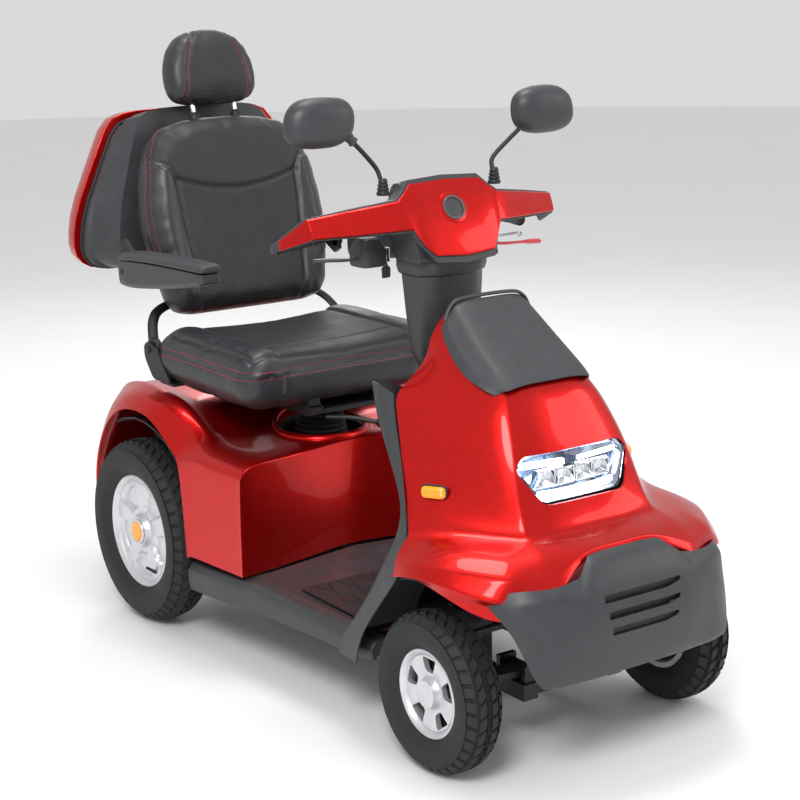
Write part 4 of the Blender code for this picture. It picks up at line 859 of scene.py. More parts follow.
def rear_rim(name, side):
    """A five-pocket cast rim with an amber reflector on its hub cap and a valve."""
    rim, web, half = 0.134, 0.024, 0.034
    face = [(half, rim - 0.0055), (half + 0.002, rim - 0.009), (half, rim - 0.0135),
            (web + 0.001, rim - 0.02)]
    for k in range(15):
        r = rim - 0.0235 - (rim - 0.0235 - 0.04) * k / 14
        face.append((web + 0.004 * math.sin((rim - r) / (rim - 0.04) * math.pi), r))
    face += [(web + 0.004, 0.0375), (web + 0.012, 0.0345), (web + 0.0125, 0.0)]
    back = [(web - 0.03, 0.0), (web - 0.03, 0.04), (web - 0.016, 0.05), (web - 0.016, rim - 0.024),
            (-half, rim - 0.018), (-half, rim - 0.0055)]
    centre = (side * REAR_AXLE[0], REAR_AXLE[1], REAR_AXLE[2])
    pockets = rim_relief(0.05, 0.108, 5, 0.01, math.radians(18), 0.33)

    def relief(i, k, along, r, angle):
        if i >= len(face):
            return side * along, r, angle
        a, r, angle = pockets(i, k, along, r, angle)
        return side * a, r, angle

    body = f"rear_wheel_{name}"
    piece(f"rear_rim_cast_{name}", turned(face + back, 160, centre, "X", relief), SILVER, body,
          (f"rear_rim_{name}",))
    hub = [(web + 0.0128, 0.0), (web + 0.0128, 0.03), (web + 0.015, 0.029), (web + 0.016, 0.0265),
           (web + 0.016, 0.0235)]
    ring = [(side * a, r) for a, r in hub + [(web + 0.014, 0.0228), (web + 0.014, 0.0)]]
    piece(f"rear_hub_ring_{name}", turned(ring, 48, centre), SILVER, body, bevel=0.0004)
    dome = [(side * a, r) for a, r in ((web + 0.0142, 0.0), (web + 0.0142, 0.0222), (web + 0.0175, 0.0215),
                                       (web + 0.0195, 0.015), (web + 0.02, 0.0))]
    # The hub-cap reflector takes the amber material's faint emission, a painted glow.
    piece(f"rear_reflector_{name}", turned(dome, 48, centre), GLOWING_AMBER, body)
    spot = Vector(centre) + Vector((side * (web + 0.002), -0.06, -0.085))
    out = Vector((side * 0.02, 0.01, 0.014))
    piece(f"rear_valve_{name}", sweep([spot, spot + out * 0.5, spot + out], [0.004, 0.0036, 0.003], 10),
          BLACK, body)


def front_rim(name, side):
    """A cast rim with five spokes and open windows round a plain hub cap."""
    rim, web, half = FRONT_RIM, 0.018, 0.028
    face = [(half, rim - 0.0055), (half + 0.0015, rim - 0.008), (half, rim - 0.0115), (web, rim - 0.017)]
    for k in range(9):
        r = rim - 0.019 - (rim - 0.019 - 0.032) * k / 8
        face.append((web + 0.0035 * math.sin((rim - r) / (rim - 0.03) * math.pi), r))
    face += [(web + 0.006, 0.0285), (web + 0.0135, 0.026), (web + 0.0145, 0.02), (web + 0.015, 0.0)]
    back = [(web - 0.03, 0.0), (web - 0.03, 0.03), (web - 0.008, 0.038), (web - 0.008, rim - 0.021),
            (-half, rim - 0.016), (-half, rim - 0.0055)]
    centre = Vector((side * FRONT_AXLE[0], FRONT_AXLE[1], FRONT_AXLE[2]))
    obj = build(f"front_rim_cast_{name}", turned([(side * a, r) for a, r in face + back], 120, centre),
                SILVER)
    windows = []
    for k in range(5):
        angle = 2 * math.pi * (k + 0.25) / 5
        spin = Matrix.Rotation(angle, 4, "X")
        outline = rounded([(0.04, -0.0105), (0.067, -0.0205), (0.067, 0.0205), (0.04, 0.0105)], 0.006, 5)
        rings = [[centre + spin @ Vector((a, u, v)) for u, v in outline] for a in (-0.05, 0.05)]
        windows.append(loft(rings))
    cut(obj, *windows)
    obj.data.materials.clear()
    obj.data.materials.append(SILVER)
    obj.data.shade_smooth()
    obj.data.set_sharp_from_angle(angle=math.radians(38))
    modifier(obj, "BEVEL", width=0.0012, segments=2, limit_method="ANGLE", angle_limit=math.radians(40))
    body = f"front_wheel_{name}"
    declare(obj, body, (f"front_rim_{name}",))
    # Painted shade: a black disc just behind the open windows fills them with dark.
    shade_disc = [(side * a, r) for a, r in ((-0.01, 0.0), (-0.01, 0.066), (-0.004, 0.068), (0.004, 0.068),
                                       (0.004, 0.0))]
    piece(f"front_window_shade_disc_{name}", turned([(a, max(r, 0.031)) for a, r in shade_disc], 64, centre), BLACK, body,
          bevel=0.001)


FRONT_RIM = 0.09


def wheels():
    rear_rows = [(-0.97, -0.66), (-0.56, -0.17), (-0.07, 0.07), (0.17, 0.56), (0.66, 0.97)]
    front_rows = [(-0.98, -0.62), (-0.5, -0.14), (-0.04, 0.04), (0.14, 0.5), (0.62, 0.98)]
    for name, side in SIDES:
        tyre(f"rear_tread_{name}", (side * REAR_AXLE[0], *REAR_AXLE[1:]), 0.208, 0.102, 0.134, 44, 0.55,
             0.006,
             f"rear_wheel_{name}", f"rear_tyre_{name}", rear_rows)
        tyre(f"front_tread_{name}", (side * FRONT_AXLE[0], *FRONT_AXLE[1:]), 0.153, 0.084, 0.09, 34, 0.3,
             0.006,
             f"front_wheel_{name}", f"front_tyre_{name}", front_rows)
        rear_rim(name, side)
        front_rim(name, side)


def springs():
    """Coils round dampers, at the rear arms."""
    for name, side in SIDES:
        x, y, low, high = side * 0.17, 0.405, 0.264, 0.358
        coil = []
        for k in range(6 * 16 + 1):
            a = 2 * math.pi * k / 16
            coil.append((x + 0.0185 * math.cos(a), y + 0.0185 * math.sin(a),
                         low + 0.01 + 0.072 * k / (6 * 16)))
        rod = sweep([(x, y, low), (x, y, low + 0.045), (x, y, low + 0.046), (x, y, high)],
                    [0.0105, 0.0105, 0.006, 0.006], 14)
        cups = [turned([(z, 0.005), (z, 0.022), (z + 0.003, 0.023), (z + 0.005, 0.02), (z + 0.005, 0.005)],
                       24, (x, y, 0), "Z")
                for z in (low + 0.002, high - 0.01)]
        obj = piece(f"rear_coil_{name}", merged(sweep(coil, 0.003, 8), rod, *cups), BLACK, "chassis",
                    (f"rear_spring_{name}",))
        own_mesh(obj)


# Tiller -------------------------------------------------------------------------------
def column():
    """The satin column cover with its collar under the handlebar."""
    rings = []
    for z, y, wide, deep in (
        (0.668, -0.251, 0.058, 0.024), (0.674, -0.251, 0.062, 0.028), (0.7, -0.25, 0.074, 0.036),
        (0.78, -0.247, 0.078, 0.046), (0.838, -0.245, 0.08, 0.053), (0.854, -0.244, 0.0805, 0.055),
        (0.858, -0.2435, 0.086, 0.06), (0.87, -0.243, 0.089, 0.063), (0.884, -0.243, 0.089, 0.063),
        (0.8985, -0.244, 0.088, 0.06),
    ):
        outline = rounded([(-wide, -deep * 0.55), (-wide * 0.55, -deep), (wide * 0.55, -deep),
                           (wide, -deep * 0.55),
                           (wide, deep * 0.55), (wide * 0.55, deep), (-wide * 0.55, deep),
                           (-wide, deep * 0.55)], 0.012, 4)
        rings.append([(a, y + b, z) for a, b in outline])
    piece("column_cover", loft(rings), CHARCOAL, "tiller", ("tiller_column",), smooth=50, bevel=0.0008)
    boot = [(0.63, 0.03), (0.63, 0.038), (0.64, 0.046), (0.648, 0.04), (0.656, 0.05), (0.662, 0.042),
            (0.667, 0.052),
            (0.669, 0.052), (0.669, 0.03)]
    piece("column_boot", turned([(z, r) for z, r in boot], 40, (0, -0.25, 0), "Z"), RUBBER, "tiller",
          levels=1)


def handlebar_stations(steps=3):
    coarse = (
        ((0.0, -0.243, 1.046), (0.0, -0.332, 0.882)), ((0.086, -0.246, 1.042), (0.07, -0.328, 0.888)),
        ((0.104, -0.256, 1.024), (0.088, -0.312, 0.912)), ((0.124, -0.263, 1.009), (0.104, -0.296, 0.947)),
        ((0.212, -0.238, 0.997), (0.205, -0.264, 0.944)), ((0.298, -0.213, 0.984), (0.295, -0.233, 0.942)),
        ((0.33, -0.146, 0.93), (0.334, -0.152, 0.914)),
    )
    fine = []
    for first, second in zip(coarse, coarse[1:]):
        for k in range(steps):
            fine.append([Vector(p).lerp(Vector(q), k / steps) for p, q in zip(first, second)])
    fine.append([Vector(p) for p in coarse[-1]])
    return fine


def across(stations, section):
    half = [section(top, low) for top, low in stations]
    right = [[Vector((-p.x, p.y, p.z)) for p in ring] for ring in half[:0:-1]]
    return loft(right + half)


def handlebar():
    stations = handlebar_stations()

    def shell_ring(top, low):
        deep = 0.046 - 0.034 * max(0.0, (top.x - 0.19) / 0.14)
        spots = (0.0, 0.2, 0.5, 0.8, 1.0)
        front = [top.lerp(low, t) for t in spots]
        back = [low.lerp(top, t) for t in (0.02, 0.12, 0.5, 0.88, 0.98)]
        push = (0.55, 1.0, 1.0, 1.0, 0.55)
        return front + [p + Vector((0, deep * q, -0.003)) for p, q in zip(back, push)]

    def panel_ring(top, low):
        spots = (0.05, 0.09, 0.5, 0.87, 0.91)
        lift = (0.0042, 0.0064, 0.0074, 0.0064, 0.0042)
        edge = [top.lerp(low, t) for t in spots]
        front = [p + Vector((0, -q, 0)) for p, q in zip(edge, lift)]
        return front + [p + Vector((0, -0.0012, 0)) for p in edge[::-1]]

    obj = build("handlebar_housing", across(stations, shell_ring), CHARCOAL, 30)
    modifier(obj, "BEVEL", width=0.004, segments=3, limit_method="ANGLE", angle_limit=math.radians(28))
    declare(obj, "tiller", ("handlebar_shell",))
    tip = [p.lerp(q, 0.55) for p, q in zip(stations[-2], stations[-1])]
    panel = build("handlebar_panel_face", across(stations[:-1] + [tip], panel_ring), RED, 30)
    modifier(panel, "BEVEL", width=0.0022, segments=3, limit_method="ANGLE", angle_limit=math.radians(24))
    declare(panel, "tiller", ("handlebar_panel",))
    console = rounded([(-0.306, 0.884), (-0.218, 0.885), (-0.198, 0.93), (-0.2, 1.01), (-0.214, 1.034),
                       (-0.24, 1.036)], 0.012, 5)
    whole = build("handlebar_console", prism(console, "X", -0.096, 0.096), GRAINED)
    cut(whole, block((0, -0.26, 0.8495), (0.171, 0.079, 0.1)))
    modifier(whole, "BEVEL", width=0.004, segments=3, limit_method="ANGLE", angle_limit=math.radians(40))
    declare(whole, "tiller")
    lean = Matrix.Translation((0, -0.282, 0.9835)) @ Matrix.Rotation(math.radians(-28.5), 4, "X")
    def disc(name, profile, look):
        bm = turned(profile, 64, (0, 0, 0), "Y")
        bmesh.ops.transform(bm, matrix=lean, verts=bm.verts)
        piece(name, bm, look, "tiller", bevel=0.0005)

    disc("emblem_boss", [(-0.0035, 0.0), (-0.0035, 0.03), (-0.0015, 0.0335), (0.004, 0.035),
                         (0.004, 0.0)], RED)
    disc("emblem_ring", [(-0.0036, 0.0205), (-0.0062, 0.0212), (-0.0062, 0.025), (-0.0036, 0.0258)],
         GREY_METAL)
    disc("emblem_disc", [(-0.0036, 0.0), (-0.005, 0.0), (-0.0048, 0.015), (-0.004, 0.0198),
                         (-0.0036, 0.02)],
         CHARCOAL)


def grips():
    """The bar behind the panel, with ribbed grips at its ends."""
    half = [(0.25, -0.146, 0.93), (0.19, -0.162, 0.939), (0.12, -0.172, 0.943)]
    line = curved(half + [(-x, y, z) for x, y, z in half[::-1]], 5)
    clamps = [block((x, -0.1855, 0.943), (0.03, 0.024, 0.032)) for x in (-0.055, 0.055)]
    piece("handlebar_bar", merged(sweep(line, 0.0108, 20), *clamps), STEEL, "tiller", ("handlebar_tube",),
          bevel=0.0012)
    for name, side in SIDES:
        line = curved([(side * x, y, z) for x, y, z in
                       ((0.306, -0.112, 0.914), (0.296, -0.116, 0.916), (0.274, -0.129, 0.922),
                        (0.236, -0.152, 0.933))], 14)
        radii = []
        for k in range(len(line)):
            ridge = 0.0007 * math.sin(k * 1.9)
            radii.append(0.012 + ridge if 1 < k < len(line) - 3 else 0.0138)
        radii[0] = 0.009
        piece(f"grip_{name}", sweep(line, radii, 24), RUBBER, "tiller")


def controls():
    corners = rounded([(-0.03, -0.03), (0.03, -0.03), (0.03, 0.03), (-0.03, 0.03)], 0.016)
    rings = []
    for z, grow in ((0.871, 0.9), (0.875, 1.0), (0.905, 1.0), (0.912, 0.86), (0.927, 0.62)):
        rings.append([(-0.132 + x * grow, -0.178 + y * grow, z) for x, y in corners])
    piece("switch_pod", loft(rings), CHARCOAL, "tiller", ("control_pod",), bevel=0.003)
    barrel = turned([(0.902, 0.0), (0.902, 0.0085), (0.88, 0.0085), (0.878, 0.0098), (0.8745, 0.0098),
                     (0.874, 0.007),
                     (0.874, 0.0)], 32, (-0.086, -0.172, 0), "Z")
    bow = rounded([(-0.011, 0.841), (0.011, 0.841), (0.011, 0.862), (0.004, 0.866), (0.004, 0.875),
                   (-0.004, 0.875),
                   (-0.004, 0.866), (-0.011, 0.862)], 0.005)
    key = prism([(a, z) for a, z in bow], "Y", -0.0015, 0.0015)
    bmesh.ops.translate(key, verts=key.verts, vec=(-0.086, -0.172, 0))
    piece("key_and_barrel", merged(barrel, key), CHROME, "key", ("ignition_key",), bevel=0.0006)
    line = curved([(-0.1632, -0.18, 0.888), (-0.185, -0.178, 0.8885), (-0.215, -0.168, 0.89),
                   (-0.246, -0.152, 0.889)], 6)
    widths = [0.005 + 0.0045 * min(1.0, k / 8) for k in range(len(line))]
    piece("throttle_paddle", sweep(line, widths, 12, 0.45), GREY_METAL, "throttle", ("throttle_lever",),
          levels=1)
    line = curved([(0.128, -0.182, 0.9), (0.16, -0.187, 0.898), (0.205, -0.181, 0.897),
                   (0.245, -0.165, 0.895),
                   (0.276, -0.146, 0.89)], 6)
    tip = turned([(-0.007, 0.0), (-0.005, 0.005), (0.0, 0.0068), (0.005, 0.005), (0.007, 0.0)], 16,
                 (0.279, -0.144, 0.889), "X")
    piece("brake_handle", merged(sweep(line, 0.0042, 12), tip), BRIGHT, "brake", ("brake_lever",), levels=1)
    line = curved([(0.112, -0.232, 0.896), (0.18, -0.224, 0.889), (0.24, -0.196, 0.882),
                   (0.298, -0.167, 0.8742),
                   (0.326, -0.153, 0.8705)], 6)
    widths = [0.0042 if k < 12 else 0.0042 + 0.003 * min(1.0, (k - 12) / 4) for k in range(len(line))]
    widths[-1] = 0.005
    piece("tilt_handle", sweep(line, widths, 14, 0.75), RED_PLASTIC, "tilt_release", ("tilt_lever",),
          levels=1)


def mirrors():
    for name, side in SIDES:
        wide, high = (0.277, 1.165) if side < 0 else (0.262, 1.157)
        base = Vector((side * 0.136, -0.24, 1.0165))
        line = curved([base + Vector((0, 0, 0.02)), (side * 0.137, -0.232, 1.05),
                       (side * 0.143, -0.228, 1.068),
                       (side * 0.172, -0.234, 1.096), (side * 0.2, -0.24, 1.12)], 6)
        boot = [(0.0, 0.0), (0.0, 0.0125), (0.004, 0.0135), (0.009, 0.0105), (0.012, 0.0122), (0.016, 0.0094),
                (0.019, 0.011), (0.023, 0.0084), (0.026, 0.0096), (0.033, 0.0066), (0.033, 0.0)]
        bm = merged(sweep(line, 0.0046, 12), turned([(base.z + a, r) for a, r in boot], 24,
                                                    (base.x, base.y, 0), "Z"))
        piece(f"mirror_arm_{name}", bm, BLACK, f"mirror_stem_{name}", (f"mirror_stem_{name}",))
        rings = []
        for back, grow in ((-0.0245, 0.2), (-0.0235, 0.45), (-0.019, 0.72), (-0.01, 0.91), (0.002, 0.99),
                           (0.012, 1.0), (0.0165, 0.985), (0.0165, 0.93), (0.0135, 0.915)):
            ring = []
            for k in range(40):
                angle = 2 * math.pi * k / 40
                c, s = math.cos(angle), math.sin(angle)
                x = 0.075 * math.copysign(abs(c) ** 0.72, c)
                z = (0.048 if s > 0 else 0.049) * math.copysign(abs(s) ** 0.8, s)
                x *= 1.0 + 0.1 * (z / 0.05) * (-1 if c * side > 0 else 0.4)
                ring.append((side * wide + grow * x, -0.245 + back, high + grow * z))
            rings.append(ring)
        glass_ring = [(side * wide + (x - side * wide) * 0.99, -0.245 + 0.0142, z) for x, y, z in rings[-1]]
        head = loft(rings)
        joint = sweep([(side * 0.2035, -0.241, 1.1235), (side * 0.209, -0.2415, 1.128),
                       (side * 0.213, -0.242, 1.132),
                       (side * 0.224, -0.243, 1.142)], [0.0105, 0.0085, 0.0102, 0.009], 16)
        piece(f"mirror_shell_{name}", merged(head, joint), CHARCOAL, f"mirror_head_{name}",
              (f"mirror_head_{name}",),
              smooth=45)
        glass = loft([glass_ring, [(x, y + 0.0012, z) for x, y, z in glass_ring]])
        piece(f"mirror_glass_{name}", glass, MIRROR, f"mirror_head_{name}")


# Seat ---------------------------------------------------------------------------------
def lean_back(point):
    """A point of the upright backrest, leaned back about the recline hinge."""
    return RECLINE + Matrix.Rotation(-BACK_LEAN, 4, "X") @ (Vector(point) - RECLINE)


def soft(name, rings, cap, shaping, looks, choose, body, node, lean=False):
    """A padded cover: remeshed, swollen by cloth pressure, then sewn in by shaping(point, normal)."""
    bm = loft(rings)
    obj = build(name, bm, looks)
    modifier(obj, "REMESH", mode="VOXEL", voxel_size=0.0055)
    settled(obj)
    obj.data.materials.clear()
    for look in looks:
        obj.data.materials.append(look)
    before = [v.co.copy() for v in obj.data.vertices]
    cloth = modifier(obj, "CLOTH")
    cloth.settings.use_pressure = True
    cloth.settings.uniform_pressure_force = 4.0
    cloth.settings.effector_weights.gravity = 0.0
    for frame_number in range(1, 21):
        bpy.context.scene.frame_set(frame_number)
    settled(obj)
    for vertex, start in zip(obj.data.vertices, before):
        move = vertex.co - start
        if move.length > cap:
            vertex.co = start + move * (cap / move.length)
    bpy.context.scene.frame_set(1)
    modifier(obj, "SMOOTH", factor=0.5, iterations=14)
    settled(obj)
    mesh = obj.data
    normals = [v.normal.copy() for v in mesh.vertices]
    for vertex, normal in zip(mesh.vertices, normals):
        point = vertex.co - Vector((0, DATUM_Y, 0))
        vertex.co = shaping(point, normal) + Vector((0, DATUM_Y, 0))
    for face in mesh.polygons:
        face.material_index = choose(face.center - Vector((0, DATUM_Y, 0)), face.normal)
    mesh.shade_smooth()
    modifier(obj, "SUBSURF", levels=1, render_levels=1)
    settled(obj)
    tree = BVHTree.FromObject(obj, bpy.context.evaluated_depsgraph_get())
    if lean:
        shift = Matrix.Translation((0, DATUM_Y, 0))
        obj.data.transform(shift @ Matrix.Translation(RECLINE) @ Matrix.Rotation(-BACK_LEAN, 4, "X")
                           @ Matrix.Translation(-RECLINE) @ shift.inverted())
    obj.data.shade_smooth()
    declare(obj, body, (node,))
    return tree


def stitched(name, tree, lines, towards, body, lean=False, step=0.006, length=0.0036):
    """Rows of short thread stitches, laid on the cover by looking along towards."""
    whole = bmesh.new()
    towards = Vector(towards)
    for line in lines:
        points, travelled = [Vector(p) for p in line], 0.0
        ends = []
        for first, second in zip(points, points[1:]):
            span = (second - first).length
            while travelled < span:
                ends.append((first.lerp(second, travelled / span), (second - first).normalized()))
                travelled += step
            travelled -= span
        for spot, along in ends:
            found = tree.ray_cast(spot + Vector((0, DATUM_Y, 0)) - towards * 0.2, towards)
            if found[0] is None:
                continue
            hit, normal = found[0] - Vector((0, DATUM_Y, 0)), found[1]
            along = (along - normal * along.dot(normal)).normalized()
            side = normal.cross(along)
            points = []
            for a, b, c in ((-1, -1, 0), (1, -1, 0), (1, 1, 0), (-1, 1, 0), (-0.8, 0, 1), (0.8, 0, 1)):
                raised = normal * (0.0009 * c - 0.0001)
                points.append(whole.verts.new(hit + along * a * length / 2 + side * b * 0.0006 + raised))
            for face in ((3, 2, 1, 0), (0, 1, 5, 4), (2, 3, 4, 5), (1, 2, 5), (3, 0, 4)):
                whole.faces.new([points[i] for i in face])
    if lean:
        bmesh.ops.transform(whole, matrix=Matrix.Translation(RECLINE) @ Matrix.Rotation(-BACK_LEAN, 4, "X")
                            @ Matrix.Translation(-RECLINE), verts=whole.verts)
    piece(name, whole, THREAD, body)


def groove(distance, width, depth):
    """How far a seam pulls the cover in at this distance from it."""
    reach = abs(distance) / width
    return -depth * math.exp(-reach * reach * 2.2)


def offset_line(line, by, plane):
    """The same line moved sideways in its plane, for the second row of a double stitch."""
    made = []
    points = [Vector(p) for p in line]
    for i, point in enumerate(points):
        along = (points[min(i + 1, len(points) - 1)] - points[max(i - 1, 0)]).normalized()
        made.append(point + along.cross(Vector(plane)) * by)
    return made


def padded_rings(half, levels):
    """Rings of an outline given by its left half, swollen and shrunk from back to front."""
    centre = (half[0][1] + half[-1][1]) / 2
    wide = max(x for x, z in half)
    tall = (half[-1][1] - half[0][1]) / 2
    rings = []
    for back, grow in levels:
        left = [(x * (1 + grow / wide), centre + (z - centre) * (1 + grow / tall)) for x, z in half]
        outline = left + [(-x, z) for x, z in left[-2:0:-1]]
        rings.append([(x, RECLINE.y + back, z) for x, z in outline])
    return rings


BACK_HALF = (
    (0.0, 0.661), (0.08, 0.661), (0.16, 0.663), (0.197, 0.672), (0.217, 0.7), (0.231, 0.757),
    (0.242, 0.82),
    (0.248, 0.875), (0.246, 0.93), (0.237, 0.985), (0.223, 1.038), (0.202, 1.082), (0.168, 1.114),
    (0.11, 1.13),
    (0.05, 1.136), (0.0, 1.137),
)
HEAD_HALF = (
    (0.0, 1.15), (0.04, 1.15), (0.076, 1.151), (0.101, 1.158), (0.115, 1.178), (0.119, 1.21),
    (0.115, 1.247),
    (0.102, 1.283), (0.078, 1.312), (0.044, 1.326), (0.0, 1.33),
)


def bolster_x(z):
    """Where the seam between the backrest's middle and its side bolster runs at this height."""
    table = ((0.66, 0.128), (0.76, 0.14), (0.86, 0.15), (0.93, 0.155), (0.965, 0.156), (0.99, 0.161),
             (1.01, 0.172), (1.025, 0.19), (1.034, 0.215), (1.04, 0.26))
    for (z0, x0), (z1, x1) in zip(table, table[1:]):
        if z <= z1:
            return x0 + (x1 - x0) * max(0.0, (z - z0) / (z1 - z0))
    return 0.3


def smile_z(x):
    """Height of the seam across the middle of the backrest."""
    return 0.95 + 0.03 * (x / 0.155) ** 2


def backrest():
    rings = padded_rings(BACK_HALF, ((-0.046, -0.034), (-0.034, -0.012), (-0.01, -0.005), (0.01, -0.005),
                                     (0.028, -0.01), (0.036, -0.026)))

    def seams(point):
        side = (abs(point.x) - bolster_x(point.z)) * 0.9
        if point.z > 1.0:
            side = min(abs(side), abs(point.z - 1.032) + 0.02) if abs(point.x) > 0.22 else side
        pull = groove(side, 0.006, 0.008)
        if abs(point.x) < bolster_x(point.z):
            pull += groove(point.z - smile_z(point.x), 0.006, 0.008)
        return pull

    def shaping(point, normal):
        if normal.y < -0.1:
            crown = 0.007 * max(0.0, 1 - ((abs(point.x) - 0.195) / 0.035) ** 2) if point.z < 1.01 else 0.0
            dish = -0.004 * max(0.0, 1 - (point.x / 0.15) ** 2) * max(0.0, 1 - ((point.z - 0.8) / 0.16) ** 2)
            return point + Vector((0, -1, 0)) * (crown + dish + seams(point) * min(1.0, -normal.y * 1.4))
        pull = groove(point.y - (RECLINE.y + 0.012), 0.005, 0.003)
        return point + normal * pull

    def choose(point, normal):
        if normal.y > 0.35 or point.y > RECLINE.y + 0.012:
            return 0
        return 1 if abs(point.x) < bolster_x(point.z) else 0

    tree = soft("backrest_cover", rings, 0.01, shaping, (VINYL, MESH), choose, "back", "backrest", True)
    lines = []
    for side in (-1, 1):
        rim = [(side * (x - 0.018), RECLINE.y, z) for x, z in BACK_HALF if 0.7 < z < 1.125]
        rim = curved(rim, 5)
        lines += [rim, offset_line(rim, 0.0055 * side, (0, 1, 0))]
    lines = [[p for p in line] for line in lines]
    stitched("backrest_stitching", tree, lines, (0, 1, 0), "back", True)


def headrest():
    rings = padded_rings(HEAD_HALF, ((-0.04, -0.026), (-0.03, -0.01), (-0.01, -0.004), (0.01, -0.004),
                                     (0.026, -0.01), (0.034, -0.026)))

    def shaping(point, normal):
        pull = groove(abs(point.x) - seam_x(point.z), 0.0045, 0.0042) if normal.y < 0.2 else 0.0
        return point + normal * pull

    def seam_x(z):
        """Where the seam beside the middle panel runs at this height."""
        above = z - 1.19
        return 0.082 + 0.01 * (1.19 - z) / 0.05 if z < 1.19 else 0.082 - 0.32 * above * above / 0.12

    def choose(point, normal):
        return 1 if abs(point.x) < seam_x(point.z) and normal.y < 0.35 else 0

    tree = soft("headrest_cover", rings, 0.008, shaping, (VINYL, MESH), choose, "headrest", "headrest", True)
    lines = []
    for side in (-1, 1):
        for out in (-0.0055, 0.0055):
            lines.append([(side * (seam_x(z) + out), RECLINE.y, z)
                          for z in [1.158 + 0.135 * k / 20 for k in range(21)]])
    stitched("headrest_stitching", tree, lines, (0, 1, 0), "headrest", True)
    stems = [sweep([lean_back((side * 0.055, RECLINE.y, z)) for z in (1.052, 1.1, 1.2)], 0.0058, 16)
             for side in (-1, 1)]
    piece("headrest_stems", merged(*stems), CHROME, "headrest")
    collars = [sweep([lean_back((side * 0.055, RECLINE.y, z)) for z in (1.116, 1.13, 1.136)],
                     [0.014, 0.013, 0.01], 20)
               for side in (-1, 1)]
    piece("headrest_collars", merged(*collars), BLACK, "back", bevel=0.001)


CUSHION_X = 0.279
CUSHION_FRONT = 0.062
CUSHION_REAR = 0.503


def cushion_outline(grow, corner=0.06):
    return rounded([(-CUSHION_X - grow, CUSHION_FRONT - grow), (CUSHION_X + grow, CUSHION_FRONT - grow),
                    (CUSHION_X + grow, CUSHION_REAR + grow), (-CUSHION_X - grow, CUSHION_REAR + grow)],
                    corner, 7)


def seat_cushion():
    rings = []
    for z, grow in ((0.544, -0.03), (0.55, -0.015), (0.57, -0.004), (0.598, -0.002), (0.62, -0.008),
                    (0.636, -0.022),
                    (0.645, -0.044), (0.648, -0.075)):
        rings.append([(x, y, z) for x, y in cushion_outline(grow)])

    def inset(point):
        """Distance in from the cushion's edge, seen from above."""
        return min(CUSHION_X - abs(point.x), point.y - CUSHION_FRONT, CUSHION_REAR - point.y)

    def shaping(point, normal):
        if normal.z < -0.6:
            return point
        pull = 0.0
        if normal.z > 0.35:
            pull += groove(inset(point) - 0.04, 0.0055, 0.0045)
            pull += groove(abs(point.x) - 0.172, 0.006, 0.006) if inset(point) > 0.042 else 0.0
            pull += groove(point.y - 0.17, 0.006,
                           0.005) if abs(point.x) < 0.172 and inset(point) > 0.042 else 0.0
            pull -= 0.006 * max(0.0, 1 - (point.x / 0.16) ** 2)
            pull += 0.01 * max(0.0, 1 - ((abs(point.x) - 0.215) / 0.05) ** 2)
        else:
            pull += groove(point.z - 0.616, 0.0045, 0.003)
            if point.y < 0.11:
                pull += groove(abs(point.x) - 0.172, 0.006, 0.004)
        return point + normal * pull

    def choose(point, normal):
        return 1 if normal.z > 0.3 and abs(point.x) < 0.172 and inset(point) > 0.04 else 0

    tree = soft("seat_cushion_cover", rings, 0.01, shaping, (VINYL, MESH), choose, "seat", "seat_cushion")
    heights = (0.6245, 0.6085)
    stitched("seat_front_stitching", tree, [[(x, 0.04, z) for x in (-0.222, 0.222)] for z in heights],
             (0, 1, 0), "seat")
    for name, side in SIDES:
        rows = [[(side * 0.31, y, z) for y in (0.12, 0.45)] for z in heights]
        stitched(f"seat_side_stitching_{name}", tree, rows, (-side, 0, 0), "seat")
        rows = [[(side * 0.243, 0.022, z), (side * 0.319, 0.098, z)] for z in heights]
        stitched(f"seat_corner_stitching_{name}", tree, rows, (-side, 1, 0), "seat")


def seat_base():
    """The rails and recline brackets under the cushion, and the swivel latch's lever with its ball end."""
    parts = [block((0, 0.27, 0.547), (0.33, 0.34, 0.006)), block((0, 0.42, 0.547), (0.54, 0.06, 0.006))]
    parts += [block((x, 0.26, 0.5365), (0.026, 0.33, 0.018)) for x in (-0.09, 0.09)]
    parts += [block((x, 0.26, 0.529), (0.034, 0.33, 0.003)) for x in (-0.09, 0.09)]
    for _, side in SIDES:
        outline = rounded([(0.4, 0.548), (0.48, 0.548), (0.516, 0.592), (0.518, 0.62), (0.498, 0.632),
                           (0.462, 0.618)], 0.012)
        parts.append(prism(outline, "X", *sorted((side * 0.2665, side * 0.272))))
        bolt = [(side * a, r) for a, r in ((0.27, 0.0), (0.27, 0.008), (0.275, 0.0074),
                                           (0.2765, 0.0052), (0.2765, 0.0))]
        parts.append(turned(bolt, 12, (0, RECLINE.y, RECLINE.z), "X"))
    piece("seat_rail_set", merged(*parts), STEEL, "seat", ("seat_rails",), bevel=0.001)
    line = curved([(-0.06, 0.1, 0.4995), (-0.042, 0.082, 0.4996), (-0.02, 0.06, 0.499),
                   (0.002, 0.038, 0.4945),
                   (0.02, 0.02, 0.49)], 5)
    knob = turned([(-0.016, 0.0), (-0.0145, 0.0055), (-0.01, 0.009), (-0.003, 0.0108), (0.004, 0.0108),
                   (0.01, 0.0088),
                   (0.014, 0.005), (0.015, 0.0)], 24, (0.026, 0.014, 0.4885), "Y")
    piece("seat_latch_lever", merged(sweep(line, 0.0048, 14), knob), BLACK, "seat_latch", ("seat_lever",),
          smooth=60)


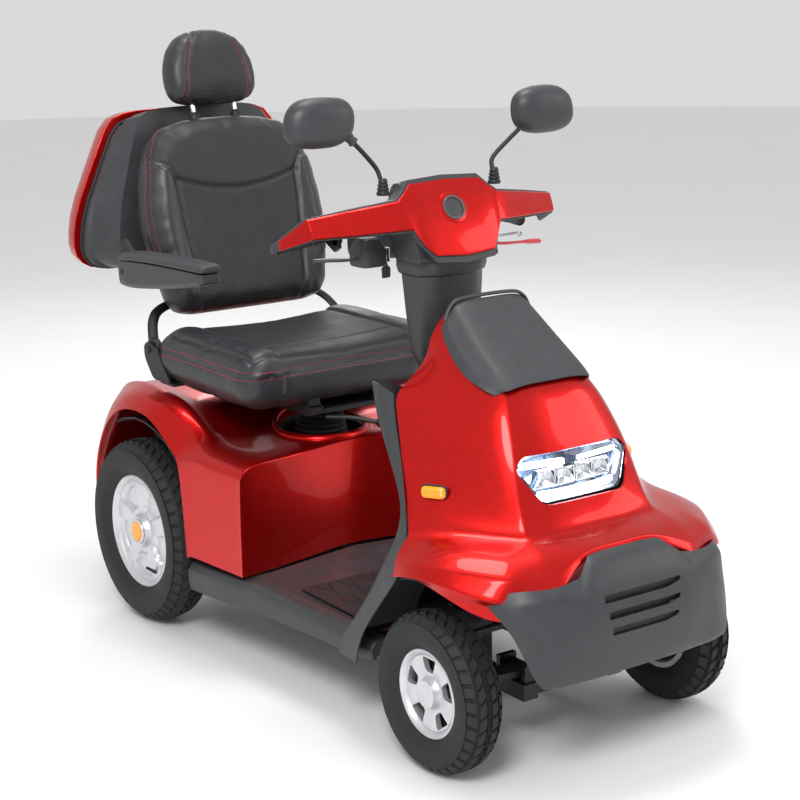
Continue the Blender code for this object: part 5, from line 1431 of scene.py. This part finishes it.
# Armrests and rear box ----------------------------------------------------------------
def armrests():
    for name, side in SIDES:
        x = side * 0.3045
        under = []
        for y, wide, low, high in (
            (0.514, 0.018, 0.774, 0.812), (0.506, 0.0265, 0.764, 0.818), (0.47, 0.0285, 0.762, 0.822),
            (0.42, 0.029, 0.766, 0.826), (0.34, 0.029, 0.776, 0.83), (0.26, 0.029, 0.788, 0.832),
            (0.185, 0.0285, 0.8, 0.834), (0.152, 0.0265, 0.808, 0.833), (0.143, 0.02, 0.814, 0.832),
        ):
            under.append([(x + a * wide, y, z) for a, z in ((-1, low + 0.01), (-0.82, low + 0.002),
                                                            (-0.4, low),
                          (0.4, low), (0.82, low + 0.002), (1, low + 0.01), (1, high), (-1, high))])
        pad = []
        for y, wide, low, high in (
            (0.516, 0.012, 0.812, 0.826), (0.512, 0.023, 0.8145, 0.834), (0.495, 0.0285, 0.818, 0.84),
            (0.43, 0.0295, 0.825, 0.846), (0.34, 0.03, 0.83, 0.85), (0.26, 0.03, 0.832, 0.8525),
            (0.19, 0.03, 0.834, 0.8535), (0.148, 0.0285, 0.834, 0.8525), (0.137, 0.023, 0.835, 0.85),
        ):
            pad.append([(x + a * wide, y, low + (high - low) * b) for a, b in (
                (-0.9, 0.0), (-1.0, 0.25), (-0.98, 0.62), (-0.8, 0.92), (-0.4, 1.0), (0.4, 1.0),
                (0.8, 0.92),
                (0.98, 0.62), (1.0, 0.25), (0.9, 0.0))])
        body = f"armrest_{name}"
        piece(f"armrest_housing_{name}", loft(under), CHARCOAL, body, (f"armrest_{name}",), bevel=0.0015,
              levels=1)
        piece(f"armrest_pad_{name}", loft(pad), GRAINED, body, levels=2)
        cap = [(side * a, r) for a, r in ((0.0, 0.0), (0.0, 0.0085), (0.003, 0.008), (0.0042, 0.005),
                                          (0.0042, 0.0))]
        centre = (x + side * 0.0245, 0.487, 0.797)
        piece(f"armrest_screw_{name}", turned(cap, 24, centre, "X"), BLACK, body,
              bevel=0.0006)
        arm = prism([(0.54, 0.77), (0.6, 0.8), (0.602, 0.848), (0.586, 0.852), (0.528, 0.812),
                     (0.522, 0.782)], "X",
                    side * 0.262, side * 0.2735)
        pivot = turned([(side * a, r) for a, r in ((0.262, 0.0), (0.262, 0.014), (0.2745, 0.014),
                                                   (0.276, 0.012), (0.276, 0.0))],
                       28, (0, 0.535, 0.8), "X")
        piece(f"armrest_bracket_{name}", merged(arm, pivot), STEEL, "back", bevel=0.0015)


def back_brackets():
    """The plate behind the backrest and the arms down to the recline hinge."""
    turn = Matrix.Rotation(-BACK_LEAN, 4, "X")
    parts = [block(lean_back((0, 0.5455, 0.85)), (0.3, 0.014, 0.33), turn)]
    parts.append(sweep([lean_back((x, 0.544, 0.8)) for x in (-0.266, -0.12, 0.12, 0.266)], 0.0115, 20))
    for _, side in SIDES:
        arm = curved([lean_back((side * x, y, z)) for x, y, z in (
            (0.256, 0.496, 0.6), (0.25, 0.505, 0.638), (0.232, 0.525, 0.678),
            (0.2, 0.54, 0.702),
            (0.13, 0.544, 0.72))], 5)
        parts.append(sweep(arm, 0.012, 14, 0.5))
        hub = [(side * a, r) for a, r in ((0.249, 0.0), (0.249, 0.026), (0.2615, 0.026), (0.2635, 0.024),
                                          (0.2635, 0.0))]
        parts.append(turned(hub, 40, RECLINE, "X"))
    piece("back_brackets", merged(*parts), BLACK, "back", ("back_frame",), bevel=0.0015)


BOX_HALF = (
    (0.0, 1.123), (0.07, 1.1225), (0.14, 1.121), (0.176, 1.117), (0.205, 1.106), (0.226, 1.082),
    (0.262, 1.005),
    (0.296, 0.93), (0.311, 0.885), (0.318, 0.846), (0.319, 0.82), (0.314, 0.798), (0.3, 0.781),
    (0.28, 0.77),
    (0.25, 0.7645), (0.12, 0.7625), (0.0, 0.762),
)


def box_ring(scale_x, scale_z, y, top=None, low=None, drop=0.0):
    """The rear box's outline, shrunk about its middle. top and low give each end's depth."""
    half = []
    for x, z in BOX_HALF:
        height = 0.94 + (z - 0.94) * scale_z - drop
        depth = y if top is None else low + (top - low) * (height - 0.76) / 0.36
        half.append((-x * scale_x, depth, height))
    return half + [(-x, y, z) for x, y, z in half[-2:0:-1]]


def rear_box():
    nose = (0.78, 1.04)
    outer = [box_ring(*nose, 0, 0.694, 0.64), box_ring(0.9, 0.985, 0.722),
             box_ring(0.935, 0.956, 0.728, drop=0.008),
             box_ring(0.94, 0.956, 0.733, drop=0.008), box_ring(0.94, 0.956, 0.744, drop=0.008)]
    inner = [box_ring(0.757, 1.004, 0, 0.698, 0.644), box_ring(0.88, 0.96, 0.724),
             box_ring(0.915, 0.925, 0.732),
             box_ring(0.915, 0.925, 0.76)]
    obj = build("rear_box_shell", loft(outer), CHARCOAL)
    cut(obj, loft(inner))
    obj.data.materials.clear()
    obj.data.materials.append(CHARCOAL)
    obj.data.shade_smooth()
    obj.data.set_sharp_from_angle(angle=math.radians(35))
    modifier(obj, "BEVEL", width=0.0025, segments=3, limit_method="ANGLE", angle_limit=math.radians(28))
    declare(obj, "back", ("rear_box",))
    seal = box_ring(0.947, 0.961, 0.7425, drop=0.007)
    piece("rear_box_seal", closed_sweep(seal, 0.0036, 8), RUBBER, "back")
    rings = [box_ring(1.0, 1.004, 0.7462), box_ring(0.999, 1.003, 0.752), box_ring(0.992, 0.997, 0.77),
             box_ring(0.978, 0.984, 0.79), box_ring(0.95, 0.958, 0.808), box_ring(0.9, 0.908, 0.8235),
             box_ring(0.82, 0.825, 0.8335), box_ring(0.7, 0.7, 0.838), box_ring(0.45, 0.45, 0.8395)]
    inside = [box_ring(0.925, 0.935, 0.735), box_ring(0.922, 0.932, 0.78), box_ring(0.88, 0.89, 0.812),
              box_ring(0.72, 0.72, 0.831)]
    lid = build("rear_box_lid", loft(rings), RED, 60)
    cut(lid, loft(inside))
    lid.data.materials.clear()
    lid.data.materials.append(RED)
    lid.data.shade_smooth()
    lid.data.set_sharp_from_angle(angle=math.radians(40))
    modifier(lid, "BEVEL", width=0.0012, segments=2, limit_method="ANGLE", angle_limit=math.radians(40))
    declare(lid, "box_lid", ("box_lid",))


def closed_sweep(points, radius, sides):
    """A round bar along a closed loop that lies in one upright plane."""
    points = [Vector(p) for p in points]
    rings = []
    for i, point in enumerate(points):
        along = (points[(i + 1) % len(points)] - points[i - 1]).normalized()
        out = along.cross(Vector((0, 1, 0))).normalized()
        turns = [2 * math.pi * k / sides for k in range(sides)]
        rings.append([point + radius * (math.cos(a) * out + math.sin(a) * Vector((0, 1, 0))) for a in turns])
    bm = loft(rings + [rings[0]], caps=False)
    bmesh.ops.remove_doubles(bm, verts=bm.verts, dist=1e-6)
    return bm


# Mechanism ----------------------------------------------------------------------------
def mechanism():
    """The CAD pieces whose shape is right get their finish and softened edges."""
    finishes = {
        STEEL: ("chassis_frame", "transaxle", "front_arm_right", "front_arm_left", "knuckle_right",
                "knuckle_left",
                "tie_rod", "steering_shaft", "seat_swivel"),
        BLACK: ("rear_arch_liner_right", "rear_arch_liner_left", "battery_right", "battery_left"),
        CHROME: ("seat_post",),
    }
    for look, names in finishes.items():
        for name in names:
            obj = bpy.data.objects[name]
            for slot in obj.material_slots:
                slot.material = look
            if name != "seat_post":
                modifier(obj, "BEVEL", width=0.001, segments=2, limit_method="ANGLE",
                         angle_limit=math.radians(40))


# Studio -------------------------------------------------------------------------------
def area_light(name, place, aim, size, energy):
    lamp = bpy.data.lights.new(name, "AREA")
    lamp.shape = "DISK"
    lamp.size = size
    lamp.energy = energy
    obj = bpy.data.objects.new(name, lamp)
    obj.location = place
    obj.rotation_euler = (Vector(aim) - Vector(place)).to_track_quat("-Z", "Y").to_euler()
    bpy.context.scene.collection.objects.link(obj)


def studio():
    ground = bpy.data.meshes.new("floor")
    bm = bmesh.new()
    bmesh.ops.create_circle(bm, cap_ends=True, segments=96, radius=14.0)
    bm.to_mesh(ground)
    bm.free()
    pale = shaded("pale_floor", (0.86, 0.86, 0.86), 0.75)
    varied(pale, (0.86, 0.86, 0.86), 0.01, 3.0)
    ground.materials.append(pale)
    floor_obj = bpy.data.objects.new("studio_floor", ground)
    bpy.context.scene.collection.objects.link(floor_obj)
    world = bpy.data.worlds.new("studio")
    world.use_nodes = True
    world.node_tree.nodes["Background"].inputs["Color"].default_value = (1.0, 1.0, 1.0, 1.0)
    world.node_tree.nodes["Background"].inputs["Strength"].default_value = 0.7
    bpy.context.scene.world = world
    bpy.context.scene.view_settings.view_transform = "Standard"
    area_light("key", (-2.6, -2.6, 3.4), (0, 0, 0.5), 1.6, 120.0)
    area_light("fill", (2.8, -2.4, 2.2), (0, 0, 0.5), 1.6, 22.0)
    area_light("top", (0.2, 0.3, 4.0), (0, 0, 0.5), 1.5, 60.0)
    area_light("rim", (2.0, 3.2, 2.6), (0, 0, 0.6), 1.6, 30.0)


def camera():
    heading, pitch, roll = math.radians(35.629), math.radians(13.272), math.radians(-1.011)
    ahead = Vector((math.sin(heading) * math.cos(pitch), math.cos(heading) * math.cos(pitch),
                    -math.sin(pitch)))
    right = ahead.cross(Vector((0, 0, 1))).normalized()
    up = right.cross(ahead)
    across = right * math.cos(roll) + up * math.sin(roll)
    above = up * math.cos(roll) - right * math.sin(roll)
    made = bpy.data.cameras.new("camera")
    made.sensor_width, made.lens = 36.0, 84.22
    made.shift_x, made.shift_y = -0.00987, -0.01248
    obj = bpy.data.objects.new("camera", made)
    turn = Matrix((across, above, -ahead)).transposed().to_4x4()
    obj.matrix_world = Matrix.Translation((-2.193, -3.1804 + DATUM_Y, 1.4775)) @ turn
    bpy.context.scene.collection.objects.link(obj)
    bpy.context.scene.camera = obj


camera()
studio()
mechanism()
rear_body()
seat_well()
front_cowl()
headlight()
lamps()
leg_shield()
front_liners()
front_bumper()
cowl_lid()
floor()
arch_bracket()
wheels()
springs()
column()
handlebar()
grips()
controls()
mirrors()
seat_base()
seat_cushion()
backrest()
headrest()
armrests()
back_brackets()
rear_box()
